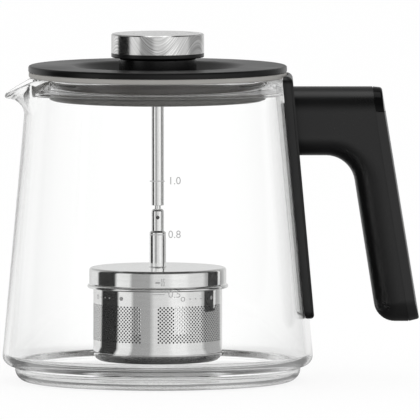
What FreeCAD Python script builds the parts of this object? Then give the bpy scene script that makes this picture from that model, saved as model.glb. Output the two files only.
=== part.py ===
import FreeCAD, Part
import Sketcher
import math
import os
import re

# Automatic tea maker: a glass jug with a lift-off lid, a pull-up infuser and a side handle.
# Millimetres. Z is up and the origin is the centre of the jug's foot, where it stands.
# The handle is on the +X side and the spout on the -X side. The jug axis is the Z axis.

VECTOR = FreeCAD.Vector

# ---------------------------------------------------------------------------
# Driving dimensions. A height is measured from the face that the jug stands on.
# ---------------------------------------------------------------------------
DIMENSIONS = {
    # glass jug
    "foot_inset": 5.75,
    "foot_height": 6.6,
    "foot_round": 3.6,
    "foot_neck_round": 0.8,
    "body_radius": 67.15,
    "body_round": 4.5,
    "neck_radius": 55.92,
    "jug_height": 130.7,
    "shoulder_round": 5.5,
    "glass_wall": 2.7,
    "glass_inner_round": 2.2,
    "lip_width": 7.92,
    "mouth_bevel": 0.8,
    "lip_depth": 5.4,
    # pouring spout, pressed out of the jug's wall
    "spout_height": 18.7,
    "spout_length": 9.58,
    "spout_under_drop": 8.6,
    "spout_wall": 2.1,
    "spout_edge_drop": 2.4,
    "spout_half_angle": 22.5,
    "spout_root": 0.4,
    # lid: disc with a finger bowl round a boss
    "seat_gap": 0.1,
    "lid_inset": 0.32,
    "lid_thickness": 2.7,
    "lid_round": 0.9,
    "bowl_margin": 4.4,
    "bowl_slope": 10.5,
    "bowl_depth": 5.0,
    "bowl_round": 8.0,
    "lid_shell": 2.2,
    "boss_radius": 16.7,
    "boss_height": 3.5,
    "boss_round": 1.0,
    "hub_wall": 3.0,
    # silicone seal and the carrier that it is stretched over
    "seal_inset": 0.2,
    "seal_flange": 2.3,
    "seal_round": 0.6,
    "seal_clearance": 0.4,
    "seal_plug_depth": 10.0,
    "seal_rib_height": 5.2,
    "seal_groove": 1.0,
    "seal_tip_step": 1.2,
    "seal_tip_round": 2.0,
    "seal_wall": 3.5,
    "carrier_wall": 2.0,
    "carrier_recess": 0.1,
    # lid screws
    "lid_screw_count": 3,
    "lid_screw_start": 60.0,
    "lid_screw_offset": 4.3,
    "lid_screw_radius": 1.5,
    "lid_screw_length": 7.0,
    "lid_screw_head": 2.7,
    "lid_screw_head_depth": 1.3,
    "lid_screw_boss": 3.4,
    # guide bush, which the rod and then the thicker stem run in
    "slide_clearance": 0.05,
    "bush_radius": 5.0,
    "bush_flange_radius": 7.5,
    "bush_flange": 1.6,
    "bush_head_radius": 4.6,
    "bush_head": 4.2,
    "grip_ring_height": 1.7,
    # lift rod and stem
    "rod_radius": 2.65,
    "rod_neck": 1.5,
    "spigot_radius": 1.3,
    "spigot_length": 8.0,
    "stem_thin_length": 9.4,
    "stem_top_round": 1.2,
    "stem_thick_length": 15.7,
    "stem_bevel": 0.7,
    "stem_radius": 3.5,
    "stem_pin_depth": 3.6,
    "stem_pin_radius": 0.75,
    "stem_pin_recess": 0.45,
    "stud_radius": 2.0,
    "lift_gap": 0.4,
    "stop_clearance": 0.1,
    # knob
    "knob_radius": 19.95,
    "knob_collar": 1.7,
    "knob_cap_height": 8.5,
    "knob_cap_wall": 1.2,
    "knob_round": 0.8,
    "knob_recess_radius": 9.0,
    "knob_recess": 5.0,
    "knob_web": 1.8,
    "knob_screw_radius": 1.5,
    "knob_screw_head": 2.75,
    "knob_screw_head_height": 1.8,
    "knob_screw_length": 10.0,
    # infuser lid
    "cover_top": 48.9,
    "cover_skirt": 6.9,
    "cover_sheet": 0.8,
    "cover_round": 1.2,
    "stud_nut_flats": 7.0,
    "stud_nut_height": 3.2,
    "stud_washer_radius": 5.0,
    "stud_washer_height": 0.5,
    # infuser basket
    "basket_radius": 27.7,
    "basket_bottom": 8.7,
    "basket_neck_gap": 1.6,
    "skirt_gap": 1.0,
    "basket_sheet": 0.6,
    "basket_round": 4.0,
    "bead_gap": 0.3,
    "bead_radius": 0.8,
    "bead_rise": 2.6,
    "bead_web": 0.8,
    # holes of the basket wall
    "hole_radius": 0.6,
    "hole_pitch": 4.3,
    "hole_row_step": 2.5,
    "hole_band_rise": 9.9,
    "hole_band_drop": 7.7,
    "hole_patch_angle": 76.0,
    "hole_patch_count": 4,
    "hole_patch_start": 0.0,
    # bayonet between the infuser lid and the basket
    "bayonet_count": 3,
    "bayonet_start": 30.0,
    "bayonet_width": 14.0,
    "bayonet_gap": 0.3,
    "bayonet_lug_drop": 4.7,
    "bayonet_lug_height": 1.2,
    "bayonet_tab_height": 1.0,
    "bayonet_stop_gap": 1.0,
    "bayonet_stop_width": 1.6,
    # bracket strip on the glass
    "pad_thickness": 0.4,
    "pad_film": 0.09,
    "bracket_half_width": 17.6,
    "bracket_bottom": 27.7,
    "bracket_rise": 1.3,
    "bracket_corner": 3.4,
    "bracket_reach": 2.1,
    "bracket_cover": 1.1,
    "pad_margin": 1.5,
    "pad_drop": 6.7,
    # handle
    "handle_width": 21.5,
    "arm_drop": 4.5,
    "arm_depth": 28.6,
    "finger_gap": 22.0,
    "grip_corner_round": 12.5,
    "grip_lean": 11.2,
    "grip_bottom": 26.2,
    "grip_foot_round": 9.0,
    "grip_depth": 11.8,
    "parting_step": 2.4,
    "parting_bend_drop": 18.7,
    "parting_bend_round": 60.0,
    "back_lean": 13.25,
    "handle_wall": 2.8,
    "arm_root": 11.0,
    "handle_edge_round": 7.0,
    "back_thickness": 4.7,
    "back_rise": 1.1,
    "back_edge_round": 2.4,
    "back_corner_round": 3.0,
    "cap_height": 9.7,
    "cap_gap": 0.15,
    "cap_drop": 0.4,
    "cap_round": 3.6,
    "tongue_length": 4.6,
    "tongue_height": 8.0,
    "tongue_wall": 2.0,
    "tongue_clearance": 0.15,
    # handle screws
    "handle_screw_radius": 1.5,
    "handle_screw_head": 2.8,
    "handle_screw_head_depth": 1.2,
    "handle_screw_length": 9.0,
    "handle_screw_inset": 7.3,
}

document = FreeCAD.newDocument("tea_maker")
sheet = document.addObject("Spreadsheet::Sheet", "dim")
for row, (alias, number) in enumerate(DIMENSIONS.items(), start=1):
    sheet.set(f"A{row}", alias)
    sheet.set(f"B{row}", str(number))
    sheet.setAlias(f"B{row}", alias)
document.recompute()

sub_parts = []


# ---------------------------------------------------------------------------
# Formulas and sketches
# ---------------------------------------------------------------------------
def bound(formula):
    """Point each dimension's name in a formula at its cell in the sheet."""
    def cell(match):
        word = match.group()
        return "dim." + word if word in DIMENSIONS else word
    return re.sub(r"[a-z]\w*", cell, str(formula))


def size(formula):
    """The value of a formula, in millimetres or degrees."""
    return float(sheet.evalExpression(bound(formula)))


def bind(item, **formulas):
    """Tie properties of an object to the sheet; an underscore pair stands for a dot."""
    for name, formula in formulas.items():
        item.setExpression(name.replace("__", "."), bound(formula))


def plane_of(body, role):
    """The body's own origin plane or axis with this role."""
    return next(item for item in body.Origin.OriginFeatures if item.Role == role)


def place_point(sketch, where, point):
    """Fix one sketch point at a pair of formulas from the sketch's origin."""
    index, position = where
    for kind, axis, formula in (("DistanceX", -2, point[0]), ("DistanceY", -1, point[1])):
        if abs(size(formula)) < 1e-9:
            sketch.addConstraint(Sketcher.Constraint("PointOnObject", index, position, axis))
            continue
        held = sketch.addConstraint(
            Sketcher.Constraint(kind, -1, 1, index, position, size(formula)))
        sketch.setExpression(f"Constraints[{held}]", bound(formula))


def corner_arc(before, corner, after, radius):
    """The tangent points, centre and angles of a round at a corner."""
    to_before = (before - corner).normalize()
    to_after = (after - corner).normalize()
    half = to_before.getAngle(to_after) / 2
    start = corner + to_before * (radius / math.tan(half))
    end = corner + to_after * (radius / math.tan(half))
    centre = corner + (to_before + to_after).normalize() * (radius / math.sin(half))
    turns_left = to_before.cross(to_after).z < 0
    first, last = (start, end) if turns_left else (end, start)
    angles = [math.atan2(p.y - centre.y, p.x - centre.x) for p in (first, last)]
    if angles[1] < angles[0]:
        angles[1] += 2 * math.pi
    arc = Part.ArcOfCircle(Part.Circle(centre, VECTOR(0, 0, 1), radius), *angles)
    return start, end, arc, turns_left


def outline(body, plane, corners):
    """A closed sketch with a straight side between corners.

    A corner is a pair of formulas, with a third one where the corner is rounded.
    """
    sketch = body.newObject("Sketcher::SketchObject", body.Name + "_outline")
    sketch.AttachmentSupport = (plane_of(body, plane), "")
    sketch.MapMode = "FlatFace"
    points = [VECTOR(size(corner[0]), size(corner[1]), 0) for corner in corners]
    count = len(corners)
    leave = list(points)
    arrive = list(points)
    arcs = {}
    for i, corner in enumerate(corners):
        if len(corner) == 3:
            made = corner_arc(points[i - 1], points[i], points[(i + 1) % count], size(corner[2]))
            arrive[i], leave[i] = made[0], made[1]
            arcs[i] = made[2:]
    sides = [
        sketch.addGeometry(Part.LineSegment(leave[i], arrive[(i + 1) % count]))
        for i in range(count)
    ]
    for i, corner in enumerate(corners):
        side_in, side_out = sides[i - 1], sides[i]
        if i not in arcs:
            sketch.addConstraint(Sketcher.Constraint("Coincident", side_in, 2, side_out, 1))
            place_point(sketch, (side_out, 1), corner)
            continue
        arc, turns_left = arcs[i]
        round_index = sketch.addGeometry(arc)
        ends = (1, 2) if turns_left else (2, 1)
        sketch.addConstraint(Sketcher.Constraint("Tangent", side_in, 2, round_index, ends[0]))
        sketch.addConstraint(Sketcher.Constraint("Tangent", round_index, ends[1], side_out, 1))
        held = sketch.addConstraint(Sketcher.Constraint("Radius", round_index, size(corner[2])))
        sketch.setExpression(f"Constraints[{held}]", bound(corner[2]))
        apex = sketch.addGeometry(Part.Point(points[i]), True)
        sketch.addConstraint(Sketcher.Constraint("PointOnObject", apex, 1, side_in))
        sketch.addConstraint(Sketcher.Constraint("PointOnObject", apex, 1, side_out))
        place_point(sketch, (apex, 1), corner)
    return sketch


def new_body(name):
    return document.addObject("PartDesign::Body", name)


def turned(name, corners):
    """A body turned about the Z axis from a section of (radius, height) corners."""
    body = new_body(name)
    section = outline(body, "XZ_Plane", corners)
    turn = body.newObject("PartDesign::Revolution", name + "_turn")
    turn.Profile = section
    turn.ReferenceAxis = (section, ["V_Axis"])
    turn.Angle = 360
    section.Visibility = False
    return body


def plate(name, plane, corners, thickness):
    """A body padded both ways from a plane; its corners are measured in that plane."""
    body = new_body(name)
    section = outline(body, plane, corners)
    pad = body.newObject("PartDesign::Pad", name + "_pad")
    pad.Profile = section
    pad.Midplane = True
    bind(pad, Length=thickness)
    return body


def round_edges(body, radius, wanted):
    """Round the edges of a body that the test picks."""
    document.recompute()
    base = body.Tip
    picked = [
        f"Edge{number}" for number, edge in enumerate(base.Shape.Edges, start=1) if wanted(edge)
    ]
    edge_round = body.newObject("PartDesign::Fillet", body.Name + "_rounds")
    edge_round.Base = (base, picked)
    bind(edge_round, Radius=radius)
    return edge_round


# ---------------------------------------------------------------------------
# Primitives and booleans
# ---------------------------------------------------------------------------
def cylinder(name, radius, bottom, height):
    made = document.addObject("Part::Cylinder", name)
    bind(made, Radius=radius, Height=height, Placement__Base__z=bottom)
    return made


def cone(name, lower_radius, upper_radius, bottom, height):
    made = document.addObject("Part::Cone", name)
    bind(made, Radius1=lower_radius, Radius2=upper_radius, Height=height,
         Placement__Base__z=bottom)
    return made


def join(name, *pieces):
    made = document.addObject("Part::MultiFuse", name)
    made.Shapes = list(pieces)
    return made


def remove(name, base, tool):
    made = document.addObject("Part::Cut", name)
    made.Base = base
    made.Tool = tool
    return made


def shared(name, first, second):
    made = document.addObject("Part::Common", name)
    made.Base = first
    made.Tool = second
    return made


def group(name, *pieces):
    made = document.addObject("Part::Compound", name)
    made.Links = list(pieces)
    return made


def turn_about_axis(item, angle):
    """Turn an object about the jug's axis."""
    item.Placement.Rotation = FreeCAD.Rotation(VECTOR(0, 0, 1), 0)
    bind(item, Placement__Rotation__Angle=angle)


def around_axis(name, count, make_one):
    """Copies at equal angles about the jug's axis, each made by make_one(name, share)."""
    return [make_one(f"{name}_{i + 1}", f"(360 * {i} / {count})") for i in range(int(size(count)))]


def keep(label, item):
    """Name a finished sub-part."""
    item.Label = label
    sub_parts.append(item)
    return item


# ---------------------------------------------------------------------------
# Heights and radii that follow from the driving dimensions
# ---------------------------------------------------------------------------
WALL_SLOPE = "((body_radius - neck_radius) / (jug_height - foot_height))"


def glass_radius(height):
    """Outer radius of the jug's cone at a height."""
    return f"(body_radius - ({height} - foot_height) * {WALL_SLOPE})"


FOOT_RADIUS = "(body_radius - foot_inset)"
MOUTH_RADIUS = "(neck_radius - lip_width)"
SPOUT_START = "(jug_height - spout_height)"
SPOUT_REACH = "(neck_radius + spout_length)"
LID_RADIUS = "(neck_radius - lid_inset)"
SEAL_FLANGE_RADIUS = f"({LID_RADIUS} - seal_inset)"
SEAL_PLUG_RADIUS = f"({MOUTH_RADIUS} - seal_clearance)"
SEAL_TIP_RADIUS = f"({SEAL_PLUG_RADIUS} - seal_tip_step)"
CARRIER_RADIUS = f"({SEAL_TIP_RADIUS} - seal_wall)"
BOWL_RADIUS = f"({CARRIER_RADIUS} - carrier_wall - bowl_margin)"
BOWL_FLOOR_RADIUS = f"({BOWL_RADIUS} - bowl_slope)"
SKIRT_BORE = "(basket_radius + skirt_gap)"
COVER_RADIUS = f"({SKIRT_BORE} + cover_sheet)"
BEAD_REACH = "(basket_radius + bead_rise)"

LID_UNDER = "(jug_height + seat_gap + seal_flange)"
LID_TOP = f"({LID_UNDER} + lid_thickness)"
BOWL_FLOOR = f"({LID_TOP} - bowl_depth)"
BOSS_TOP = f"({LID_TOP} + boss_height)"
SEAL_TIP = "(jug_height + seat_gap - seal_plug_depth)"
CARRIER_UNDER = f"({SEAL_TIP} + carrier_recess)"
CARRIER_FLOOR = f"({CARRIER_UNDER} + carrier_wall)"
KNOB_UNDER = f"({BOSS_TOP} + seat_gap)"
KNOB_CAP_UNDER = f"({KNOB_UNDER} + knob_collar)"
KNOB_TOP = f"({KNOB_CAP_UNDER} + knob_cap_height)"
ROD_TOP = f"({KNOB_UNDER} + knob_recess)"
KNOB_SCREW_SEAT = f"({ROD_TOP} + knob_web)"
COVER_SHEET_UNDER = "(cover_top - cover_sheet)"
STEM_STEP = "(cover_top + stem_thick_length)"
STEM_TOP = f"({STEM_STEP} + stem_thin_length)"
ROD_END = f"({STEM_TOP} + rod_neck)"
SPIGOT_END = f"({STEM_TOP} - spigot_length)"
LIFT_TRAVEL = f"({SEAL_TIP} - lift_gap - cover_top)"
BASKET_NECK = f"({COVER_SHEET_UNDER} - basket_neck_gap)"
BEAD_HEIGHT = "(cover_top - cover_skirt - bead_gap - bead_radius)"
BRACKET_TOP = "(jug_height + bracket_rise)"
ARM_TOP = "(jug_height - arm_drop)"
ARM_UNDER = f"({ARM_TOP} - arm_depth)"
BEND_HEIGHT = f"({ARM_TOP} - parting_bend_drop)"
CAP_BOTTOM = f"({ARM_TOP} - cap_height)"
STUD_WASHER_UNDER = f"({COVER_SHEET_UNDER} - stud_washer_height)"
STUD_NUT_UNDER = f"({STUD_WASHER_UNDER} - stud_nut_height)"


def strip_face(height):
    """The bracket strip's outer face, which the handle's arm meets, at a height."""
    return f"({glass_radius(height)} + bracket_reach)"


GRIP_CORNER = f"({strip_face(ARM_UNDER)} + finger_gap)"
GRIP_FOOT = f"({GRIP_CORNER} + grip_lean)"
PARTING_BEND = f"({GRIP_CORNER} + grip_depth)"
PARTING_TOP = f"({PARTING_BEND} - parting_step)"
PARTING_BOTTOM = f"({PARTING_BEND} + back_lean)"

# ---------------------------------------------------------------------------
# Glass jug
# ---------------------------------------------------------------------------
FLOOR = "glass_wall"
STEP = "(foot_height + glass_wall)"
LIP_UNDER = "(jug_height - lip_depth)"
ABOVE_RIM = "(jug_height + 4 * glass_wall)"

jug_outside = turned("jug_outside", [
    ("0", "0"),
    (FOOT_RADIUS, "0", "foot_round"),
    (FOOT_RADIUS, "foot_height", "foot_neck_round"),
    ("body_radius", "foot_height", "body_round"),
    ("neck_radius", "jug_height", "shoulder_round"),
    ("0", "jug_height"),
])
jug_inside = turned("jug_inside", [
    ("0", FLOOR),
    (FOOT_RADIUS + " - glass_wall", FLOOR, "glass_inner_round"),
    (FOOT_RADIUS + " - glass_wall", STEP, "foot_neck_round"),
    (glass_radius(STEP) + " - glass_wall", STEP, "glass_inner_round"),
    (glass_radius(LIP_UNDER) + " - glass_wall", LIP_UNDER, "glass_inner_round"),
    (MOUTH_RADIUS, LIP_UNDER, "glass_wall / 3"),
    (MOUTH_RADIUS, "jug_height - mouth_bevel"),
    (MOUTH_RADIUS + " + mouth_bevel", "jug_height"),
    (MOUTH_RADIUS + " + mouth_bevel", ABOVE_RIM),
    ("0", ABOVE_RIM),
])

SPOUT_STATIONS = 15
SPOUT_CURVE_STEPS = 6
CHANNEL_WIDENING = 0.7


def spout_share(angle):
    """How far the wall is pushed out at an angle from the spout's middle: 0 at its edges."""
    return math.cos(math.radians(90 * angle / size("spout_half_angle"))) ** 2


def spout_curve(angle, wall):
    """Upright section of the spout's outer face, or of a face one wall thickness inside it."""
    share = spout_share(angle)
    start = size(SPOUT_START)
    reach = size(SPOUT_REACH)
    along = reach - size(glass_radius(SPOUT_START)) + wall
    rise = size("spout_height - spout_under_drop") + wall
    edge = size("jug_height - spout_edge_drop")
    curve = []
    for step in range(SPOUT_CURVE_STEPS + 1):
        swing = math.radians(90 * step / SPOUT_CURVE_STEPS)
        height = start + (edge - start) * step / SPOUT_CURVE_STEPS
        if wall:
            height = start + (size(LIP_UNDER) - start) * step / SPOUT_CURVE_STEPS
        rest = size(glass_radius(height)) - size("spout_root") - wall
        nose = (reach - along * math.cos(swing), start + rise * math.sin(swing))
        if wall and step == SPOUT_CURVE_STEPS:
            nose = (reach - wall, nose[1])
        curve.append((rest + share * (nose[0] - rest), height + share * (nose[1] - height)))
    return curve


def spout_section(angle, corners, curve):
    """A closed wire in the upright plane at an angle from the spout's middle."""
    direction = math.radians(180 + angle)

    def place(point):
        return VECTOR(point[0] * math.cos(direction), point[0] * math.sin(direction), point[1])
    face = Part.BSplineCurve()
    face.interpolate([place(point) for point in curve])
    path = [place(point) for point in (curve[-1], *corners, curve[0])]
    edges = [Part.LineSegment(a, b).toShape() for a, b in zip(path, path[1:])]
    return Part.Wire([face.toShape(), *edges])


def spout_solid(name, wall):
    """The pushed-out block of the spout, or with a wall thickness the channel inside it."""
    half = size("spout_half_angle")
    deep = size(MOUTH_RADIUS + " - 2 * glass_wall")
    sections = []
    for station in range(SPOUT_STATIONS):
        angle = half * (2 * station / (SPOUT_STATIONS - 1) - 1)
        curve = spout_curve(angle, wall)
        corners = [(deep, curve[-1][1]), (deep, curve[0][1])]
        if wall:
            mouth = size(MOUTH_RADIUS + " - mouth_bevel")
            reach = size(SPOUT_REACH) - wall
            edge = mouth + (reach - mouth) * spout_share(angle) ** CHANNEL_WIDENING
            lift = curve[-1][1] + size("glass_wall") / 4
            top = size(ABOVE_RIM)
            corners = [(edge, lift), (edge, top), (deep, top), (deep, curve[0][1])]
        sections.append(spout_section(angle, corners, curve))
    made = document.addObject("Part::Feature", name)
    made.Shape = Part.makeLoft(sections, True)
    return made


spout_outside = spout_solid("spout_outside", 0)
spout_channel = spout_solid("spout_channel", size("spout_wall"))
jug_hollow = join("jug_hollow", jug_inside, spout_channel)
jug_blank = join("jug_blank", jug_outside, spout_outside)
keep("glass_jug", remove("jug", jug_blank, jug_hollow))

# ---------------------------------------------------------------------------
# Lid: disc, carrier, seal and screws
# ---------------------------------------------------------------------------
LID_SHELL_UNDER = f"({BOWL_FLOOR} - lid_shell)"
HUB_RADIUS = "(bush_radius + hub_wall)"
BOSS_BORE = "(boss_radius - lid_shell)"
BOSS_SHELL_UNDER = f"({BOSS_TOP} - lid_shell)"

lid_turning = turned("lid_turning", [
    ("bush_radius", CARRIER_FLOOR),
    (HUB_RADIUS, CARRIER_FLOOR),
    (HUB_RADIUS, BOSS_SHELL_UNDER),
    (BOSS_BORE, BOSS_SHELL_UNDER),
    (BOSS_BORE, LID_SHELL_UNDER),
    (BOWL_FLOOR_RADIUS, LID_SHELL_UNDER),
    (BOWL_RADIUS, LID_UNDER),
    (LID_RADIUS, LID_UNDER, "lid_round / 2"),
    (LID_RADIUS, LID_TOP, "lid_round"),
    (BOWL_RADIUS, LID_TOP, "bowl_round"),
    (BOWL_FLOOR_RADIUS, BOWL_FLOOR, "bowl_round"),
    ("boss_radius", BOWL_FLOOR, "boss_round"),
    ("boss_radius", BOSS_TOP, "boss_round"),
    ("bush_radius", BOSS_TOP),
])


def lid_screw_place(item, share):
    """Put an object on the lid's screw circle; its height stays as it is."""
    angle = f"(lid_screw_start + {share})"
    circle = "(boss_radius + lid_screw_offset)"
    bind(item, Placement__Base__x=f"{circle} * cos({angle})",
         Placement__Base__y=f"{circle} * sin({angle})")
    return item


def lid_screw_boss(name, share):
    height = f"{LID_SHELL_UNDER} - {CARRIER_FLOOR} + lid_shell / 2"
    return lid_screw_place(cylinder(name, "lid_screw_boss", CARRIER_FLOOR, height), share)


def lid_screw_shank(name, share):
    return lid_screw_place(
        cylinder(name, "lid_screw_radius", CARRIER_UNDER, "lid_screw_length"), share)


def lid_screw_head(name, share):
    return lid_screw_place(
        cone(name, "lid_screw_head", "lid_screw_radius", CARRIER_UNDER, "lid_screw_head_depth"),
        share)


def lid_screw(name, share):
    return join(name, lid_screw_shank(name + "_shank", share), lid_screw_head(name + "_head", share))


lid_bosses = around_axis("lid_boss", "lid_screw_count", lid_screw_boss)
lid_screws = group("lid_screw_set", *around_axis("lid_screw", "lid_screw_count", lid_screw))
lid_blank = join("lid_blank", lid_turning, *lid_bosses)
keep("lid_disc", remove("lid", lid_blank, lid_screws))
keep("lid_screws", lid_screws)

carrier_cup = turned("carrier_cup", [
    ("stem_radius + bayonet_gap", CARRIER_UNDER),
    (CARRIER_RADIUS, CARRIER_UNDER, "carrier_wall / 2"),
    (CARRIER_RADIUS, LID_UNDER),
    (CARRIER_RADIUS + " - carrier_wall", LID_UNDER),
    (CARRIER_RADIUS + " - carrier_wall", CARRIER_FLOOR, "carrier_wall / 2"),
    ("stem_radius + bayonet_gap", CARRIER_FLOOR),
])
keep("seal_carrier", remove("carrier", carrier_cup, lid_screws))

RIB_UNDER = "(jug_height + seat_gap - seal_rib_height)"
RIB_MIDDLE = "(jug_height + seat_gap - seal_rib_height / 2)"
FLANGE_UNDER = "(jug_height + seat_gap)"
keep("lid_seal", turned("seal", [
    (CARRIER_RADIUS, SEAL_TIP),
    (SEAL_TIP_RADIUS, SEAL_TIP, "seal_tip_round"),
    (SEAL_TIP_RADIUS, RIB_UNDER + " - seal_groove"),
    (SEAL_TIP_RADIUS + " - seal_groove", RIB_UNDER + " - seal_groove"),
    (SEAL_TIP_RADIUS + " - seal_groove", RIB_UNDER),
    (SEAL_PLUG_RADIUS, RIB_UNDER, "seal_round"),
    (SEAL_PLUG_RADIUS, RIB_MIDDLE + " - seal_groove / 2"),
    (SEAL_PLUG_RADIUS + " - seal_groove", RIB_MIDDLE),
    (SEAL_PLUG_RADIUS, RIB_MIDDLE + " + seal_groove / 2"),
    (SEAL_PLUG_RADIUS, FLANGE_UNDER),
    (SEAL_FLANGE_RADIUS, FLANGE_UNDER, "seal_round"),
    (SEAL_FLANGE_RADIUS, LID_UNDER, "seal_round"),
    (CARRIER_RADIUS, LID_UNDER),
]))

# ---------------------------------------------------------------------------
# Guide bush and the ring that holds the raised stem
# ---------------------------------------------------------------------------
ROD_BORE = "(rod_radius + slide_clearance)"
STEM_BORE = "(stem_radius + slide_clearance)"
BUSH_STEP = f"({STEM_STEP} + {LIFT_TRAVEL} + stop_clearance)"
RING_TOP = f"({CARRIER_FLOOR} + grip_ring_height)"
keep("rod_bush", turned("bush", [
    (STEM_BORE, RING_TOP),
    ("bush_radius", RING_TOP),
    ("bush_radius", BOSS_TOP),
    ("bush_flange_radius", BOSS_TOP),
    ("bush_flange_radius", BOSS_TOP + " + bush_flange"),
    ("bush_head_radius", BOSS_TOP + " + bush_flange"),
    ("bush_head_radius", BOSS_TOP + " + bush_head"),
    (ROD_BORE, BOSS_TOP + " + bush_head"),
    (ROD_BORE, BUSH_STEP),
    (STEM_BORE, BUSH_STEP),
]))
keep("grip_ring", turned("ring", [
    (STEM_BORE, CARRIER_FLOOR),
    ("bush_radius", CARRIER_FLOOR),
    ("bush_radius", RING_TOP),
    (STEM_BORE, RING_TOP),
]))

# ---------------------------------------------------------------------------
# Knob, lift rod and stem
# ---------------------------------------------------------------------------
keep("knob_cap", turned("cap", [
    ("0", KNOB_TOP + " - knob_cap_wall"),
    ("knob_radius - knob_cap_wall", KNOB_TOP + " - knob_cap_wall"),
    ("knob_radius - knob_cap_wall", KNOB_CAP_UNDER),
    ("knob_radius", KNOB_CAP_UNDER),
    ("knob_radius", KNOB_TOP, "knob_round"),
    ("0", KNOB_TOP),
]))
keep("knob_core", turned("core", [
    ("knob_recess_radius", KNOB_UNDER),
    ("knob_radius", KNOB_UNDER, "knob_round / 2"),
    ("knob_radius", KNOB_CAP_UNDER),
    ("knob_radius - knob_cap_wall", KNOB_CAP_UNDER),
    ("knob_radius - knob_cap_wall", KNOB_TOP + " - knob_cap_wall"),
    ("knob_screw_head + bayonet_gap", KNOB_TOP + " - knob_cap_wall"),
    ("knob_screw_head + bayonet_gap", KNOB_SCREW_SEAT),
    ("knob_screw_radius + slide_clearance", KNOB_SCREW_SEAT),
    ("knob_screw_radius + slide_clearance", ROD_TOP),
    ("knob_recess_radius", ROD_TOP),
]))
keep("knob_screw", turned("knob_fixing", [
    ("0", ROD_TOP + " - knob_screw_length"),
    ("knob_screw_radius", ROD_TOP + " - knob_screw_length"),
    ("knob_screw_radius", KNOB_SCREW_SEAT),
    ("knob_screw_head", KNOB_SCREW_SEAT),
    ("knob_screw_head", KNOB_SCREW_SEAT + " + knob_screw_head_height", "knob_round"),
    ("0", KNOB_SCREW_SEAT + " + knob_screw_head_height"),
]))

rod_blank = turned("rod_blank", [
    ("0", SPIGOT_END),
    ("spigot_radius", SPIGOT_END),
    ("spigot_radius", ROD_END),
    ("rod_radius", ROD_END),
    ("rod_radius", ROD_TOP),
    ("knob_screw_radius", ROD_TOP),
    ("knob_screw_radius", ROD_TOP + " - knob_screw_length"),
    ("0", ROD_TOP + " - knob_screw_length"),
])
stem_blank = turned("stem_blank", [
    ("0", SPIGOT_END),
    ("spigot_radius", SPIGOT_END),
    ("spigot_radius", STEM_TOP),
    ("rod_radius", STEM_TOP, "stem_top_round"),
    ("rod_radius", STEM_STEP),
    ("stem_radius", STEM_STEP + " - stem_bevel"),
    ("stem_radius", "cover_top"),
    ("stud_radius", "cover_top"),
    ("stud_radius", STUD_NUT_UNDER + " - bayonet_gap"),
    ("0", STUD_NUT_UNDER + " - bayonet_gap"),
])


def cross_pin(name, recess):
    """A pin across the stem, from front to back."""
    made = document.addObject("Part::Cylinder", name)
    made.Placement.Rotation = FreeCAD.Rotation(VECTOR(1, 0, 0), -90)
    bind(made, Radius="stem_pin_radius", Height=f"2 * (rod_radius - {recess})",
         Placement__Base__y=f"-(rod_radius - {recess})",
         Placement__Base__z=f"{STEM_TOP} - stem_pin_depth")
    return made


pin_hole = cross_pin("pin_hole", "(-bayonet_gap)")
keep("lift_rod", remove("rod", rod_blank, pin_hole))
keep("lower_stem", remove("stem", stem_blank, pin_hole))
keep("stem_pin", cross_pin("pin", "stem_pin_recess"))

# ---------------------------------------------------------------------------
# Infuser lid, with the stud's washer and nut under it
# ---------------------------------------------------------------------------
LUG_TOP = "(cover_top - bayonet_lug_drop)"
TAB_UNDER = f"({LUG_TOP} + bayonet_gap)"
TAB_TOP = f"({TAB_UNDER} + bayonet_tab_height)"
LUG_BORE = "(basket_radius + bayonet_gap)"
TAB_RADIUS = f"({SKIRT_BORE} - bayonet_gap)"


def sector(name, inner, outer, bottom, height, start, width):
    """A block between two radii over a stretch of angle."""
    full = cylinder(name + "_full", outer, bottom, height)
    bind(full, Angle=width)
    turn_about_axis(full, start)
    return remove(name, full, cylinder(name + "_bore", inner, bottom, height))


def cover_lug(name, share):
    """A lug inside the skirt, with an upright stop where the basket's tab ends its turn."""
    start = f"(bayonet_start + {share} - bayonet_width / 2)"
    ledge = sector(name + "_ledge", LUG_BORE, SKIRT_BORE + " + cover_sheet / 2",
                   LUG_TOP + " - bayonet_lug_height", "bayonet_lug_height", start,
                   "bayonet_width")
    stop_start = f"({start} - bayonet_stop_width - bayonet_stop_gap)"
    stop = sector(name + "_stop", LUG_BORE, SKIRT_BORE + " + cover_sheet / 2",
                  LUG_TOP + " - bayonet_lug_height",
                  f"{TAB_TOP} - {LUG_TOP} + bayonet_lug_height", stop_start,
                  "bayonet_stop_width")
    return [ledge, stop]


cover_sheet_metal = turned("cover_sheet_metal", [
    ("stud_radius", COVER_SHEET_UNDER),
    (SKIRT_BORE, COVER_SHEET_UNDER, "cover_round - cover_sheet"),
    (SKIRT_BORE, "cover_top - cover_skirt"),
    (COVER_RADIUS, "cover_top - cover_skirt"),
    (COVER_RADIUS, "cover_top", "cover_round"),
    ("stud_radius", "cover_top"),
])
cover_lugs = sum(around_axis("cover_lug", "bayonet_count", cover_lug), [])
keep("infuser_lid", join("cover", cover_sheet_metal, *cover_lugs))

keep("stud_washer", turned("washer", [
    ("stud_radius", STUD_WASHER_UNDER),
    ("stud_washer_radius", STUD_WASHER_UNDER),
    ("stud_washer_radius", COVER_SHEET_UNDER),
    ("stud_radius", COVER_SHEET_UNDER),
]))
nut_blank = document.addObject("Part::Prism", "nut_blank")
nut_blank.Polygon = 6
bind(nut_blank, Circumradius="stud_nut_flats / 2 / cos(30)", Height="stud_nut_height",
     Placement__Base__z=STUD_NUT_UNDER)
nut_bore = cylinder("nut_bore", "stud_radius", STUD_NUT_UNDER, "stud_nut_height")
keep("stud_nut", remove("nut", nut_blank, nut_bore))

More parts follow.
